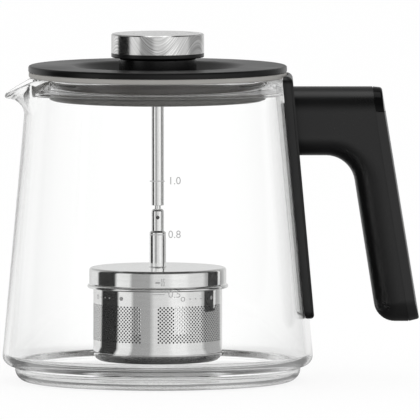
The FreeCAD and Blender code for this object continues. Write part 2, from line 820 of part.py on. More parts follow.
# ---------------------------------------------------------------------------
# Infuser basket
# ---------------------------------------------------------------------------
basket_cup = turned("basket_cup", [
    ("0", "basket_bottom"),
    ("basket_radius", "basket_bottom", "basket_round"),
    ("basket_radius", BASKET_NECK),
    ("basket_radius - basket_sheet", BASKET_NECK),
    ("basket_radius - basket_sheet", "basket_bottom + basket_sheet", "basket_round - basket_sheet"),
    ("0", "basket_bottom + basket_sheet"),
])


def basket_tab(name, share):
    """A tab on the basket's neck that hangs on a lug of the infuser lid."""
    start = f"(bayonet_start + {share} - bayonet_width / 2)"
    return sector(name, "basket_radius - basket_sheet / 2", TAB_RADIUS, TAB_UNDER,
                  "bayonet_tab_height", start, "bayonet_width")


def basket_holes():
    """The drills of the wall's holes: rows in each patch, every other row set half a pitch on."""
    radius = size("basket_radius")
    length = 3 * size("basket_sheet")
    patch = size("hole_patch_angle")
    pitch = math.degrees(size("hole_pitch") / radius)
    lowest = size("basket_bottom + hole_band_rise")
    highest = size(BEAD_HEIGHT + " - hole_band_drop")
    rows = int((highest - lowest) / size("hole_row_step")) + 1
    columns = int(patch / pitch)
    drills = []
    for part in range(int(size("hole_patch_count"))):
        middle = size("hole_patch_start") + 360 * part / size("hole_patch_count") + patch / 2
        for line in range(rows):
            height = lowest + line * size("hole_row_step")
            for column in range(columns - line % 2):
                offset = column - (columns - 1 - line % 2) / 2
                angle = math.radians(middle + offset * pitch)
                outward = VECTOR(math.cos(angle), math.sin(angle), 0)
                start = outward * (radius - 2 * size("basket_sheet")) + VECTOR(0, 0, height)
                drills.append(Part.makeCylinder(size("hole_radius"), length, start, outward))
    return Part.makeCompound(drills)


basket_drills = document.addObject("Part::Feature", "basket_drills")
basket_drills.Shape = basket_holes()
basket_blank = join(
    "basket_blank", basket_cup, *around_axis("basket_tab", "bayonet_count", basket_tab))
keep("basket_shell", remove("basket", basket_blank, basket_drills))

bead = document.addObject("Part::Torus", "bead")
bind(bead, Radius1=BEAD_REACH + " - bead_radius", Radius2="bead_radius",
     Placement__Base__z=BEAD_HEIGHT)
bead_web = cylinder(
    "bead_web", BEAD_REACH + " - bead_radius", BEAD_HEIGHT + " - bead_web / 2", "bead_web")
bead_bore = cylinder("bead_bore", "basket_radius", BEAD_HEIGHT + " - bead_web", "2 * bead_web")
keep("basket_rim", remove("rim", join("rim_blank", bead, bead_web), bead_bore))

# ---------------------------------------------------------------------------
# Bracket strip: pad, bracket and cover, on the cone of the glass
# ---------------------------------------------------------------------------
def wall_cone(name, thickness, bottom, top):
    """A cone one thickness outside the glass."""
    return cone(name, glass_radius(bottom) + f" + {thickness}", glass_radius(top) + f" + {thickness}",
                bottom, f"{top} - {bottom}")


def strip_block(name, margin, top):
    """A block with the strip's rounded outline, seen from the handle side."""
    body = new_body(name)
    side = f"(bracket_half_width - {margin})"
    low = f"(bracket_bottom + {margin})"
    corner = f"(bracket_corner - {margin})"
    section = outline(body, "YZ_Plane", [
        ("-" + side, low, corner), (side, low, corner), (side, top, corner), ("-" + side, top, corner),
    ])
    pad = body.newObject("PartDesign::Pad", name + "_pad")
    pad.Profile = section
    bind(pad, Length="body_radius + bracket_half_width")
    return body


def strip_slab(name, inner, outer):
    """A slab beside the glass; its two faces lean with the wall."""
    low = "(bracket_bottom - bracket_corner)"
    high = f"({BRACKET_TOP} + bracket_corner)"
    return plate(name, "XZ_Plane", [
        (f"{glass_radius(low)} + {inner}", low),
        (f"{glass_radius(low)} + {outer}", low),
        (f"{glass_radius(high)} + {outer}", high),
        (f"{glass_radius(high)} + {inner}", high),
    ], "3 * bracket_half_width")


def handle_screw_at(name, height):
    """A countersunk screw square to the bracket, from the glass side into the handle's arm."""
    shank = cylinder(name + "_shank", "handle_screw_radius", "0", "handle_screw_length")
    head = cone(name + "_head", "handle_screw_head", "handle_screw_radius", "0",
                "handle_screw_head_depth")
    made = join(name, shank, head)
    made.Placement.Rotation = FreeCAD.Rotation(VECTOR(0, 1, 0), 90)
    bind(made, Placement__Rotation__Angle=f"atan(1 / {WALL_SLOPE})",
         Placement__Base__x=glass_radius(height) + " + pad_thickness",
         Placement__Base__z=height)
    return made


handle_screws = group(
    "handle_screw_set",
    handle_screw_at("upper_handle_screw", f"({ARM_TOP} - handle_screw_inset)"),
    handle_screw_at("lower_handle_screw", f"({ARM_UNDER} + handle_screw_inset)"))

pad_block = strip_block("pad_block", "pad_margin", "(jug_height - pad_drop)")
pad_skin = remove(
    "pad_skin",
    wall_cone("pad_cone", "(pad_thickness - pad_film)", "foot_height", "jug_height"),
    wall_cone("pad_core", "pad_film", "foot_height", "jug_height"))
keep("bracket_pad", shared("pad", pad_block, pad_skin))

strip = strip_block("strip", "0", BRACKET_TOP)
bracket_block = shared(
    "bracket_block", strip, strip_slab("bracket_slab", "(-glass_wall * 3)",
                                       "(bracket_reach - bracket_cover)"))
bracket_saddle = remove(
    "bracket_saddle", bracket_block,
    wall_cone("bracket_cone", "pad_thickness", "foot_height", f"({BRACKET_TOP} + bracket_corner)"))
keep("handle_bracket", remove("bracket", bracket_saddle, handle_screws))

cover_block = shared(
    "cover_block", strip, strip_slab("cover_slab", "(bracket_reach - bracket_cover)",
                                     "bracket_reach"))
keep("bracket_cover", remove("strip_cover", cover_block, handle_screws))
keep("handle_screws", handle_screws)

# ---------------------------------------------------------------------------
# Handle: grip with a hollow that is open to the back, back cover and thumb cap
# ---------------------------------------------------------------------------
BACK_SLOPE = f"(back_lean / ({BEND_HEIGHT} - grip_bottom))"
NEAR_STRIP = 0.1
IN_PLANE = 1e-6
NEAR_PARTING = 0.5
NEAR_BACK_SHARE = 0.4


def parting(height):
    """The parting line below its bend."""
    return f"({PARTING_BEND} + ({BEND_HEIGHT} - {height}) * {BACK_SLOPE})"


def upper_parting(height):
    """The parting line above its bend."""
    return f"({PARTING_BEND} - ({height} - {BEND_HEIGHT}) * parting_step / parting_bend_drop)"


def grip_front(height):
    """The finger side of the grip."""
    slope = f"(grip_lean / ({ARM_UNDER} - grip_bottom))"
    return f"({GRIP_CORNER} + ({ARM_UNDER} - {height}) * {slope})"


def in_side_face(edge):
    """Whether an edge lies in one of the handle's two flat sides."""
    side = size("handle_width") / 2
    return all(abs(abs(vertex.Y) - side) < IN_PLANE for vertex in edge.Vertexes)


def middle(edge):
    return edge.valueAt((edge.FirstParameter + edge.LastParameter) / 2)


def on_parting(edge):
    point = middle(edge)
    line = parting(point.z) if point.z < size(BEND_HEIGHT) else upper_parting(point.z)
    return abs(point.x - size(line)) < NEAR_PARTING


def on_strip(edge):
    point = middle(edge)
    return abs(point.x - size(strip_face(point.z))) < NEAR_STRIP


grip = plate("grip", "XZ_Plane", [
    (strip_face(ARM_UNDER), ARM_UNDER),
    (GRIP_CORNER, ARM_UNDER, "grip_corner_round"),
    (GRIP_FOOT, "grip_bottom", "grip_foot_round"),
    (PARTING_BOTTOM, "grip_bottom"),
    (PARTING_BEND, BEND_HEIGHT, "parting_bend_round"),
    (PARTING_TOP, ARM_TOP),
    (strip_face(ARM_TOP), ARM_TOP),
], "handle_width")
round_edges(grip, "handle_edge_round",
            lambda edge: in_side_face(edge) and not on_parting(edge) and not on_strip(edge))


def in_front_of_parting(edge):
    """Whether an edge of the hollow lies in one of its flat sides and inside the grip."""
    point = middle(edge)
    side = size("handle_width / 2 - handle_wall")
    line = parting(point.z) if point.z < size(BEND_HEIGHT) else upper_parting(point.z)
    in_side = all(abs(abs(vertex.Y) - side) < IN_PLANE for vertex in edge.Vertexes)
    return in_side and point.x < size(line) and not at_arm_root(point)


def at_arm_root(point):
    return abs(point.x - size(f"{strip_face(ARM_UNDER)} + arm_root")) < NEAR_STRIP


HOLLOW_LOW = "(grip_bottom + handle_wall)"
HOLLOW_HIGH = f"({ARM_TOP} - handle_wall)"
HOLLOW_ARM = f"({ARM_UNDER} + handle_wall)"
grip_hollow = plate("grip_hollow", "XZ_Plane", [
    (f"{strip_face(ARM_UNDER)} + arm_root", HOLLOW_ARM),
    (f"{grip_front(HOLLOW_ARM)} + handle_wall", HOLLOW_ARM),
    (f"{grip_front('(grip_bottom + grip_foot_round)')} + handle_wall",
     "grip_bottom + grip_foot_round"),
    (GRIP_FOOT + " + grip_foot_round", HOLLOW_LOW),
    (f"{parting(HOLLOW_LOW)} + back_thickness", HOLLOW_LOW),
    (PARTING_BEND + " + back_thickness", BEND_HEIGHT),
    (f"{upper_parting(HOLLOW_HIGH)} + back_thickness", HOLLOW_HIGH),
    (f"{strip_face(ARM_UNDER)} + arm_root", HOLLOW_HIGH),
], "handle_width - 2 * handle_wall")
round_edges(grip_hollow, "handle_edge_round - handle_wall", in_front_of_parting)
keep("handle_grip", remove("grip_shell", remove("grip_hollowed", grip, grip_hollow), handle_screws))

TONGUE_WIDTH = "(handle_width - 2 * handle_wall - 2 * tongue_clearance)"


def tongue(name, height):
    """A tongue of the back cover that snaps into the grip's hollow."""
    low = f"({height} - tongue_height / 2)"
    high = f"({height} + tongue_height / 2)"
    return plate(name, "XZ_Plane", [
        (f"{parting(low)} - tongue_length", low),
        (f"{parting(low)} + back_thickness / 2", low),
        (f"{parting(high)} + back_thickness / 2", high),
        (f"{parting(high)} - tongue_length", high),
    ], TONGUE_WIDTH)


def on_back(edge):
    """Whether an edge lies on the back face of the strip, away from the parting line."""
    point = middle(edge)
    back_face = size(parting(point.z) + " + back_thickness")
    near = abs(point.x - back_face) < NEAR_BACK_SHARE * size("back_thickness")
    return in_side_face(edge) and near and not on_parting(edge)


handle_end = new_body("handle_end")
half_width = "(handle_width / 2)"
end_pad = handle_end.newObject("PartDesign::Pad", "handle_end_pad")
end_pad.Profile = outline(handle_end, "YZ_Plane", [
    ("-" + half_width, "grip_bottom", "handle_edge_round"),
    (half_width, "grip_bottom", "handle_edge_round"),
    (half_width, ARM_TOP, "handle_edge_round"),
    ("-" + half_width, ARM_TOP, "handle_edge_round"),
])
bind(end_pad, Length="2 * body_radius")

back = plate("back", "XZ_Plane", [
    (PARTING_BOTTOM, "grip_bottom"),
    (f"{parting('(grip_bottom + back_rise)')} + back_thickness", "grip_bottom + back_rise",
     "back_corner_round / 2"),
    (f"{parting(CAP_BOTTOM)} + back_thickness", CAP_BOTTOM),
    (upper_parting(CAP_BOTTOM), CAP_BOTTOM),
    (PARTING_BEND, BEND_HEIGHT, "parting_bend_round"),
], "handle_width")
round_edges(back, "back_edge_round", on_back)
keep("handle_back_cover", join(
    "back_cover", shared("back_rounded", back, handle_end),
    tongue("lower_tongue", "(grip_bottom + 3 * tongue_height)"),
    tongue("upper_tongue", f"({ARM_UNDER} - tongue_height)")))

CAP_FLOOR = f"({CAP_BOTTOM} + cap_gap)"
CAP_TOP = f"({ARM_TOP} - cap_drop)"
cap_block = plate("cap_block", "XZ_Plane", [
    (upper_parting(CAP_FLOOR), CAP_FLOOR),
    (f"{parting(CAP_FLOOR)} + back_thickness", CAP_FLOOR),
    (f"{parting(CAP_TOP)} + back_thickness", CAP_TOP, "cap_round"),
    (upper_parting(CAP_TOP), CAP_TOP),
], "handle_width")
round_edges(cap_block, "back_edge_round", on_back)
cap_tongue = plate("cap_tongue", "XZ_Plane", [
    (f"{upper_parting(CAP_FLOOR)} - tongue_length", CAP_FLOOR),
    (f"{upper_parting(CAP_FLOOR)} + back_thickness / 2", CAP_FLOOR),
    (f"{upper_parting(CAP_FLOOR)} + back_thickness / 2", f"{CAP_FLOOR} + tongue_wall"),
    (f"{upper_parting(CAP_FLOOR)} - tongue_length", f"{CAP_FLOOR} + tongue_wall"),
], TONGUE_WIDTH)
keep("thumb_cap", join("thumb_piece", shared("cap_rounded", cap_block, handle_end), cap_tongue))

# ---------------------------------------------------------------------------
# Checks and export
# ---------------------------------------------------------------------------
document.recompute()
for item in document.Objects:
    if "Invalid" in item.State or "Error" in item.State:
        raise RuntimeError(f"{item.Name} did not recompute: {item.State}")
for item in sub_parts:
    if item.Shape.isNull() or not item.Shape.isValid() or not item.Shape.Solids:
        raise RuntimeError(f"{item.Label} has no valid solid")

os.makedirs("parts", exist_ok=True)
for item in sub_parts:
    item.Shape.exportStep(f"parts/{item.Label}.step")
    box = item.Shape.BoundBox
    print(f"{item.Label}: {len(item.Shape.Solids)} solid, {item.Shape.Volume:.1f} mm3, "
          f"z {box.ZMin:.2f} to {box.ZMax:.2f}, x {box.XMin:.2f} to {box.XMax:.2f}")
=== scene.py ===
import cmath
import math

import bpy
import bmesh
from mathutils import Euler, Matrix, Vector


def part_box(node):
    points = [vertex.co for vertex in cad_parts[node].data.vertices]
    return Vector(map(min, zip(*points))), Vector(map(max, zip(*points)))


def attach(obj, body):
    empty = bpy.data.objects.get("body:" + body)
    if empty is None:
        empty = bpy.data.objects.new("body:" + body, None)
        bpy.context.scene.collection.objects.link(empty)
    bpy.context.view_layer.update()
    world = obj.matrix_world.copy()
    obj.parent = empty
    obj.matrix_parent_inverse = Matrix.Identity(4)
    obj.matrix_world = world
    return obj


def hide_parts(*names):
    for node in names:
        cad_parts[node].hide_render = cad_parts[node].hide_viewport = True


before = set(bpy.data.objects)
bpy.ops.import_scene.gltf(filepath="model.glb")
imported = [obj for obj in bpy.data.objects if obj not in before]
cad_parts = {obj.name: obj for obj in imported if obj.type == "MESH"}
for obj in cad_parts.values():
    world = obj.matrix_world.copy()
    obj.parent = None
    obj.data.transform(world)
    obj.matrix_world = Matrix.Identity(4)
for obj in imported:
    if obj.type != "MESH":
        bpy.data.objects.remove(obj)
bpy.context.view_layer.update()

# Lengths are in millimetres up to the point where a mesh is made. A profile is a closed list of
# (radius, height) corners, and a corner with a third number is rounded by that radius.
MM = 0.001


def height_of(node, end):
    """The lowest (0) or highest (1) point of a CAD node, in millimetres."""
    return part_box(node)[end].z / MM


# ---- Sizes ----
FOOT_RADIUS = 61.4
FOOT_HEIGHT = 6.6
BODY_RADIUS = 67.15
NECK_RADIUS = 55.92
GLASS = 2.7
JUG_HEIGHT = height_of("glass_jug", 1)
MOUTH_RADIUS = 48.0
LIP_UNDER = JUG_HEIGHT - 5.4
LIP_ROUND = 0.8
SPOUT_START = 114.6
SPOUT_REACH = 64.3
SPOUT_UNDER = 121.4
SPOUT_WALL = 1.5
SPOUT_BEAD = 1.4
SPOUT_HALF_ANGLE = 22.5
LIP_FADE = 0.28
WALL_SLOPE = (BODY_RADIUS - NECK_RADIUS) / (JUG_HEIGHT - FOOT_HEIGHT)

SEAL_TIP = height_of("lid_seal", 0)
LID_UNDER = height_of("lid_seal", 1)
LID_TOP = LID_UNDER + 2.7
LID_RADIUS = 55.6
BOWL_RADIUS = 36.5
BOWL_FLOOR_RADIUS = 26.0
BOWL_FLOOR = LID_TOP - 5.0
LID_SHELL = 2.2
BOSS_RADIUS = 16.7
BOSS_TOP = height_of("lid_disc", 1)
FLANGE_UNDER = LID_UNDER - 2.3
RIB_UNDER = FLANGE_UNDER - 5.2
CARRIER_RADIUS = 42.9
CARRIER_UNDER = height_of("seal_carrier", 0)

KNOB_RADIUS = 19.95
KNOB_UNDER = height_of("knob_core", 0)
KNOB_CAP_UNDER = height_of("knob_cap", 0)
KNOB_TOP = height_of("knob_cap", 1)

ROD_RADIUS = 2.65
STEM_RADIUS = 3.5
ROD_END = 75.5
ROD_TOP = height_of("lift_rod", 1)
STEM_TOP = height_of("lower_stem", 1)
STEM_STEP = STEM_TOP - 9.4
STEM_FOOT = height_of("lower_stem", 0)
PIN_HEIGHT = (height_of("stem_pin", 0) + height_of("stem_pin", 1)) / 2

COVER_RADIUS = 29.5
COVER_TOP = height_of("infuser_lid", 1)
COVER_SKIRT = height_of("infuser_lid", 0)
SHEET = 0.8
LUG_TOP = COVER_TOP - 4.7
BASKET_RADIUS = 27.7
BASKET_BOTTOM = height_of("basket_shell", 0)
BASKET_NECK = height_of("basket_shell", 1)
BASKET_SHEET = 0.6
BEAD_HEIGHT = (height_of("basket_rim", 0) + height_of("basket_rim", 1)) / 2
BEAD_RADIUS = 0.8
BEAD_REACH = 30.3

STRIP_HALF_WIDTH = 17.6
STRIP_BOTTOM = height_of("handle_bracket", 0)
STRIP_TOP = height_of("handle_bracket", 1)
STRIP_CORNER = 3.4
STRIP_TOP_ROUND = 2.6
STRIP_BOTTOM_ROUND = 1.9
STRIP_REACH = 2.1
STRIP_COVER = 1.1
STRIP_SEAM = 0.22
STRIP_SEAM_DEPTH = 0.5
PAD = 0.4
PAD_FILM = 0.05
PAD_MARGIN = 1.2
# Where the pad is pale it also glows: painted light standing in for light that reaches it through
# the glass.
PALE_GLOW_FROM_Y = 8.0
PALE_GLOW_FROM_Z = 122.5

HANDLE_HALF_WIDTH = 10.75
ARM_TOP = height_of("handle_grip", 1) + 0.6
ARM_UNDER = ARM_TOP - 29.7
GRIP_BOTTOM = 25.7
GRIP_CORNER = 83.0
GRIP_FOOT = 94.2
BEND_X, BEND_Z = 94.8, 107.5
PARTING_TOP = 92.4
PARTING_BOTTOM = 108.05
BACK = 4.62
CAP_BOTTOM = 116.5

SUPPORT = 0.12
SHARP_ANGLE = 40.0
GLASS_SHARP_ANGLE = 50.0
TINY = 1e-9
# Sides of a turned piece.
FINE_TURN, PLAIN_TURN, ROD_TURN, DRILL_TURN = 192, 144, 64, 32


def glass_radius(height):
    """Outer radius of the jug's cone at a height."""
    return BODY_RADIUS - (height - FOOT_HEIGHT) * WALL_SLOPE


# ---- Node materials ----
def feed(tree, socket, value):
    """Link an output to a socket, or set the socket to a value."""
    if isinstance(value, bpy.types.NodeSocket):
        tree.links.new(value, socket)
    else:
        socket.default_value = value


def add_node(tree, kind, *values, **named):
    """A node with its inputs fed in order, or by name with _ for each space."""
    node = tree.nodes.new(kind)
    for socket, value in zip(node.inputs, values):
        feed(tree, socket, value)
    for socket, value in named.items():
        feed(tree, node.inputs[socket.replace("_", " ")], value)
    return node


def shader_of(made):
    return made.node_tree.nodes["Principled BSDF"]


def shade(made, **named):
    """Feed sockets of a material's shader, by name with _ for each space."""
    for socket, value in named.items():
        feed(made.node_tree, shader_of(made).inputs[socket.replace("_", " ")], value)


def new_material(name, color, roughness, **named):
    made = bpy.data.materials.new(name)
    made.use_nodes = True
    shade(made, Base_Color=(*color, 1.0), Roughness=roughness, **named)
    return made


def place_in(tree, kind="Object"):
    """Coordinates in metres, or for a world the direction that is looked in."""
    return tree.nodes.new("ShaderNodeTexCoord").outputs[kind]


def math_node(tree, operation, *inputs):
    node = tree.nodes.new("ShaderNodeMath")
    node.operation = operation
    for socket, value in zip(node.inputs, inputs):
        feed(tree, socket, value)
    return node.outputs[0]


def ranged(tree, value, start, end, low, high, kind="SMOOTHSTEP"):
    """A value's stretch from start to end, spread over low to high."""
    node = add_node(tree, "ShaderNodeMapRange", value, start, end, low, high)
    node.interpolation_type = kind
    return node.outputs["Result"]


def around_place(tree, per_radius, per_turn, per_height, swing=0.0):
    """Coordinates (radius, angle, height) about the jug's axis, each with its own scale. With a
    swing, in millimetres, a line of one height rises and falls three times in a turn."""
    across, along, up = add_node(tree, "ShaderNodeSeparateXYZ", place_in(tree)).outputs
    squares = math_node(tree, "ADD", math_node(tree, "POWER", across, 2.0),
                        math_node(tree, "POWER", along, 2.0))
    radius = math_node(tree, "SQRT", squares)
    angle = math_node(tree, "ARCTAN2", along, across)
    wave = math_node(tree, "SINE", math_node(tree, "MULTIPLY", angle, 3.0))
    lift = math_node(tree, "MULTIPLY", wave, swing * MM / 2)
    joined = add_node(tree, "ShaderNodeCombineXYZ", radius, angle, math_node(tree, "ADD", up, lift))
    scale = (per_radius, per_turn, per_height)
    return add_node(tree, "ShaderNodeMapping", joined.outputs[0], Scale=scale).outputs["Vector"]


def noise(tree, place, scale, detail=3.0):
    cells = add_node(tree, "ShaderNodeTexNoise", Vector=place, Scale=scale, Detail=detail)
    return cells.outputs["Fac"]


# Most of a noise's values lie in this range. Cells of noise are given per metre.
NOISE_RANGE = (0.3, 0.7)
GRAIN = 1500.0
DRIFT = 40.0
ARC_SWING = 19.0


def vary_roughness(made, value, low, high):
    shade(made, Roughness=ranged(made.node_tree, value, *NOISE_RANGE, low, high, "LINEAR"))


def vary_color(made, value, dark, light):
    ramp = add_node(made.node_tree, "ShaderNodeValToRGB", value)
    for stop, position, color in zip(ramp.color_ramp.elements, NOISE_RANGE, (dark, light)):
        stop.position = position
        stop.color = (*color, 1.0)
    shade(made, Base_Color=ramp.outputs["Color"])


def bump(made, value, depth, strength):
    """A bump of a depth in millimetres."""
    shade(made, Normal=add_node(made.node_tree, "ShaderNodeBump", Strength=strength,
                                Distance=depth * MM, Height=value).outputs["Normal"])


def moulded(name, color, roughness, depth=0.02, **named):
    """Moulded plastic or rubber with a fine grain, faint colour drift and uneven gloss."""
    made = new_material(name, color, roughness, **named)
    tree = made.node_tree
    fine, broad = noise(tree, place_in(tree), GRAIN), noise(tree, place_in(tree), DRIFT)
    vary_roughness(made, broad, roughness * 0.88, roughness * 1.12)
    vary_color(made, broad, [c * 0.93 for c in color], [c * 1.07 for c in color])
    bump(made, fine, depth, 0.35)
    return made


def steel(name, color, roughness, depth=0.004):
    """Polished sheet steel with faint wipe marks round the axis."""
    made = new_material(name, color, roughness, Metallic=1.0)
    tree = made.node_tree
    marks = noise(tree, around_place(tree, 400.0, 3.0, 900.0), 1.0, 4.0)
    vary_roughness(made, marks, roughness * 0.7, roughness * 1.5)
    vary_color(made, marks, [c * 0.97 for c in color], [min(1.0, c * 1.03) for c in color])
    bump(made, marks, depth, 0.25)
    return made


def clear_glass():
    made = new_material("clear_glass", (0.994, 0.996, 0.994), 0.0, IOR=1.47,
                        Transmission_Weight=1.0, Specular_Tint=(0.4, 0.4, 0.4, 1.0))
    bump(made, noise(made.node_tree, place_in(made.node_tree), 25.0, 1.0), 0.02, 0.02)
    return made


def brushed_knob(name, swing):
    """Steel brushed in rings on a flat face, and in long arcs that swing up and down on a side."""
    made = new_material(name, (0.72, 0.72, 0.715), 0.2, Metallic=1.0)
    tree = made.node_tree
    fine, broad = (900.0, 500.0) if swing else (4000.0, 1800.0)
    lines = noise(tree, around_place(tree, fine, 1.2, 2400.0, swing), 1.0, 4.0)
    streaks = noise(tree, around_place(tree, broad, 1.0, 1300.0, swing), 1.0, 3.0)
    vary_roughness(made, lines, 0.1, 0.24)
    vary_color(made, streaks, (0.46, 0.46, 0.455), (0.92, 0.92, 0.915))
    bump(made, lines, 0.02, 0.5)
    return made


WHITE = (1.0, 1.0, 1.0, 1.0)
BLACK = moulded("matte_black", (0.006, 0.006, 0.0062), 0.3, Specular_IOR_Level=0.42)
STRIP_BLACK = moulded("strip_black", (0.008, 0.008, 0.0082), 0.34, Specular_IOR_Level=0.42)
# A lighter copy of the handle's black plastic for the back cover: painted light where the key light
# from the right falls.
LIT_BACK_BLACK = moulded("lit_back_black", (0.011, 0.011, 0.0112), 0.34, Specular_IOR_Level=0.45)
GLOSS_BLACK = moulded("gloss_black", (0.004, 0.004, 0.0042), 0.1, 0.004, Specular_IOR_Level=0.1)
LID_BLACK = moulded("lid_black", (0.010, 0.0098, 0.0096), 0.34, 0.012, Specular_IOR_Level=0.16)
LID_SIDE = moulded("lid_side", (0.004, 0.004, 0.004), 0.3, 0.012, Specular_IOR_Level=0.25)
# A darker, glossier copy of the lid's black for the boss under the knob: painted shade from the
# knob above.
SHADED_BOSS_BLACK = moulded("shaded_boss_black", (0.004, 0.004, 0.004), 0.22, 0.004, Specular_IOR_Level=0.4)
CARRIER = moulded("carrier_dark", (0.055, 0.055, 0.052), 0.4)
SILICONE = moulded("grey_silicone", (0.39, 0.38, 0.36), 0.5, 0.01, Specular_IOR_Level=0.3)
PLUG_SILICONE = moulded("plug_silicone", (0.085, 0.078, 0.072), 0.4, 0.01)
TIP_SILICONE = moulded("tip_silicone", (0.15, 0.147, 0.135), 0.4, 0.01)
DARK_SILICONE = moulded("dark_silicone", (0.05, 0.05, 0.05), 0.5)
BUSH_WHITE = moulded("bush_white", (0.72, 0.72, 0.70), 0.4)
ADHESIVE = moulded("grey_adhesive", (0.08, 0.08, 0.08), 0.5)
# The pale adhesive gives off light of its own though it is no lamp: painted light.
GLOWING_PALE_ADHESIVE = moulded("glowing_pale_adhesive", (0.88, 0.88, 0.87), 0.5, Emission_Color=WHITE,
                        Emission_Strength=0.6)
POLISHED = steel("polished_steel", (0.84, 0.84, 0.835), 0.035, 0.001)
ROD_STEEL = steel("rod_steel", (0.86, 0.86, 0.855), 0.06, 0.001)
BASKET_STEEL = steel("basket_steel", (0.84, 0.84, 0.835), 0.035, 0.001)
# Near-black steel for the inside of the basket and the walls of its holes: painted shade inside the
# cup.
SHADED_INNER_STEEL = steel("shaded_inner_steel", (0.015, 0.015, 0.015), 0.4)
FIXING_STEEL = steel("fixing_steel", (0.55, 0.55, 0.54), 0.25)
PIN_STEEL = steel("pin_steel", (0.08, 0.08, 0.08), 0.35)
KNOB_STEEL = brushed_knob("brushed_knob", ARC_SWING)
KNOB_FACE_STEEL = brushed_knob("brushed_knob_face", 0.0)
GLASS_CLEAR = clear_glass()
MARK_GREY = moulded("mark_grey", (0.5, 0.5, 0.5), 0.6, 0.002)


# ---- Meshes ----
def unit(number):
    return number / abs(number)


def polar(radius, angle, height):
    """A point at a radius and an angle, in radians, about the jug's axis."""
    return radius * math.cos(angle), radius * math.sin(angle), height


def band(low, high, count):
    """Faces between two closed rows of points, each given by the number of its first point."""
    return [[low + k, low + (k + 1) % count, high + (k + 1) % count, high + k]
            for k in range(count)]


def rounded(corners, steps=8):
    """The points of a closed outline, with an arc and its support points at a rounded corner."""
    spots = [complex(corner[0], corner[1]) for corner in corners]
    points = []
    for i, corner in enumerate(corners):
        here = spots[i]
        if len(corner) < 3:
            points.append(here)
            continue
        to_before = unit(spots[i - 1] - here)
        to_after = unit(spots[(i + 1) % len(spots)] - here)
        turn = cmath.phase(-to_after / to_before)
        start = here + to_before * corner[2] * math.tan(abs(turn) / 2)
        centre = start - to_before * math.copysign(corner[2], turn) * 1j
        arc = [centre + (start - centre) * cmath.rect(1, turn * k / steps)
               for k in range(steps + 1)]
        points += [start + to_before * SUPPORT, *arc, arc[-1] + to_after * SUPPORT]
    return [(point.real, point.imag) for point in points]


def linked(name, data):
    """A new object in the scene."""
    made = bpy.data.objects.new(name, data)
    bpy.context.scene.collection.objects.link(made)
    return made


def evaluated_mesh(thing):
    graph = bpy.context.evaluated_depsgraph_get()
    return bpy.data.meshes.new_from_object(thing.evaluated_get(graph))


def make_piece(name, points, faces, material, sharp=SHARP_ANGLE):
    """A mesh object from points in millimetres, smooth apart from its sharp edges."""
    mesh = bpy.data.meshes.new(name)
    mesh.from_pydata([(x * MM, y * MM, z * MM) for x, y, z in points], [], faces)
    work = bmesh.new()
    work.from_mesh(mesh)
    bmesh.ops.recalc_face_normals(work, faces=work.faces)
    work.to_mesh(mesh)
    work.free()
    mesh.shade_smooth()
    mesh.set_sharp_from_angle(angle=math.radians(sharp))
    mesh.materials.append(material)
    return linked(name, mesh)


def mount(piece, body, slot, *nodes):
    """Let a piece ride a body and stand for CAD nodes, which it hides. The slot is not used."""
    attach(piece, body)
    if nodes:
        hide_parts(*nodes)


def add_face(faces, *corners):
    """Add a face, with corners that coincide on the axis taken once."""
    corners = list(dict.fromkeys(corners))
    if len(corners) > 2:
        faces.append(corners)


def turned(profile, segments=PLAIN_TURN, first=0):
    """Points and faces of a closed (radius, height) profile turned about Z."""
    points, rings, faces = [], [], []
    for radius, height in profile:
        if radius < TINY:
            rings.append([first + len(points)])
            points.append((0.0, 0.0, height))
            continue
        rings.append([first + len(points) + k for k in range(segments)])
        points += [polar(radius, 2 * math.pi * k / segments, height) for k in range(segments)]
    for lower, upper in zip(rings, rings[1:] + rings[:1]):
        for k in range(segments):
            add_face(faces, lower[k % len(lower)], lower[(k + 1) % len(lower)],
                     upper[(k + 1) % len(upper)], upper[k % len(upper)])
    return points, faces


def lathe(name, corners, material, segments=PLAIN_TURN):
    return make_piece(name, *turned(rounded(corners), segments), material)


def block(inner, outer, low, high, start, width, steps=10):
    """A maker of a block between two radii over a stretch of angle."""
    def make(first):
        points, faces = [], []
        for k in range(steps + 1):
            angle = math.radians(start + width * k / steps)
            for radius, height in ((inner, low), (outer, low), (outer, high), (inner, high)):
                points.append(polar(radius, angle, height))
        for k in range(steps):
            faces += band(first + 4 * k, first + 4 * k + 4, 4)
        ends = (first, first + 4 * steps)
        return points, faces + [[end + side for side in range(4)] for end in ends]
    return make


def merged(*makers):
    """Points and faces of several makers, each called with the number of its first point."""
    points, faces = [], []
    for maker in makers:
        more_points, more_faces = maker(len(points))
        points += more_points
        faces += more_faces
    return points, faces


def applied(piece):
    """Make a piece's modifiers part of its mesh."""
    mesh = evaluated_mesh(piece)
    piece.modifiers.clear()
    piece.data = mesh
    mesh.shade_smooth()
    mesh.set_sharp_from_angle(angle=math.radians(SHARP_ANGLE))


def cut_with(piece, cutter, operation):
    """Cut a piece with another one, which is then removed."""
    cut = piece.modifiers.new("cut", "BOOLEAN")
    cut.operation = operation
    cut.solver = "EXACT"
    cut.object = cutter
    bpy.context.view_layer.update()
    applied(piece)
    bpy.data.objects.remove(cutter)


def drill_across(piece, radius, height, length):
    """Cut a round hole through a turned piece, from front to back."""
    cutter_profile = [(0.0, -length), (radius, -length), (radius, length), (0.0, length)]
    cutter = make_piece("cutter", *turned(cutter_profile, DRILL_TURN), FIXING_STEEL)
    cutter.rotation_euler = Euler((math.radians(90), 0.0, 0.0))
    cutter.location.z = height * MM
    cut_with(piece, cutter, "DIFFERENCE")


def paint(piece, material, chosen):
    """Give a further material to the faces that a test chooses."""
    piece.data.materials.append(material)
    for face in piece.data.polygons:
        if chosen(face):
            face.material_index = len(piece.data.materials) - 1


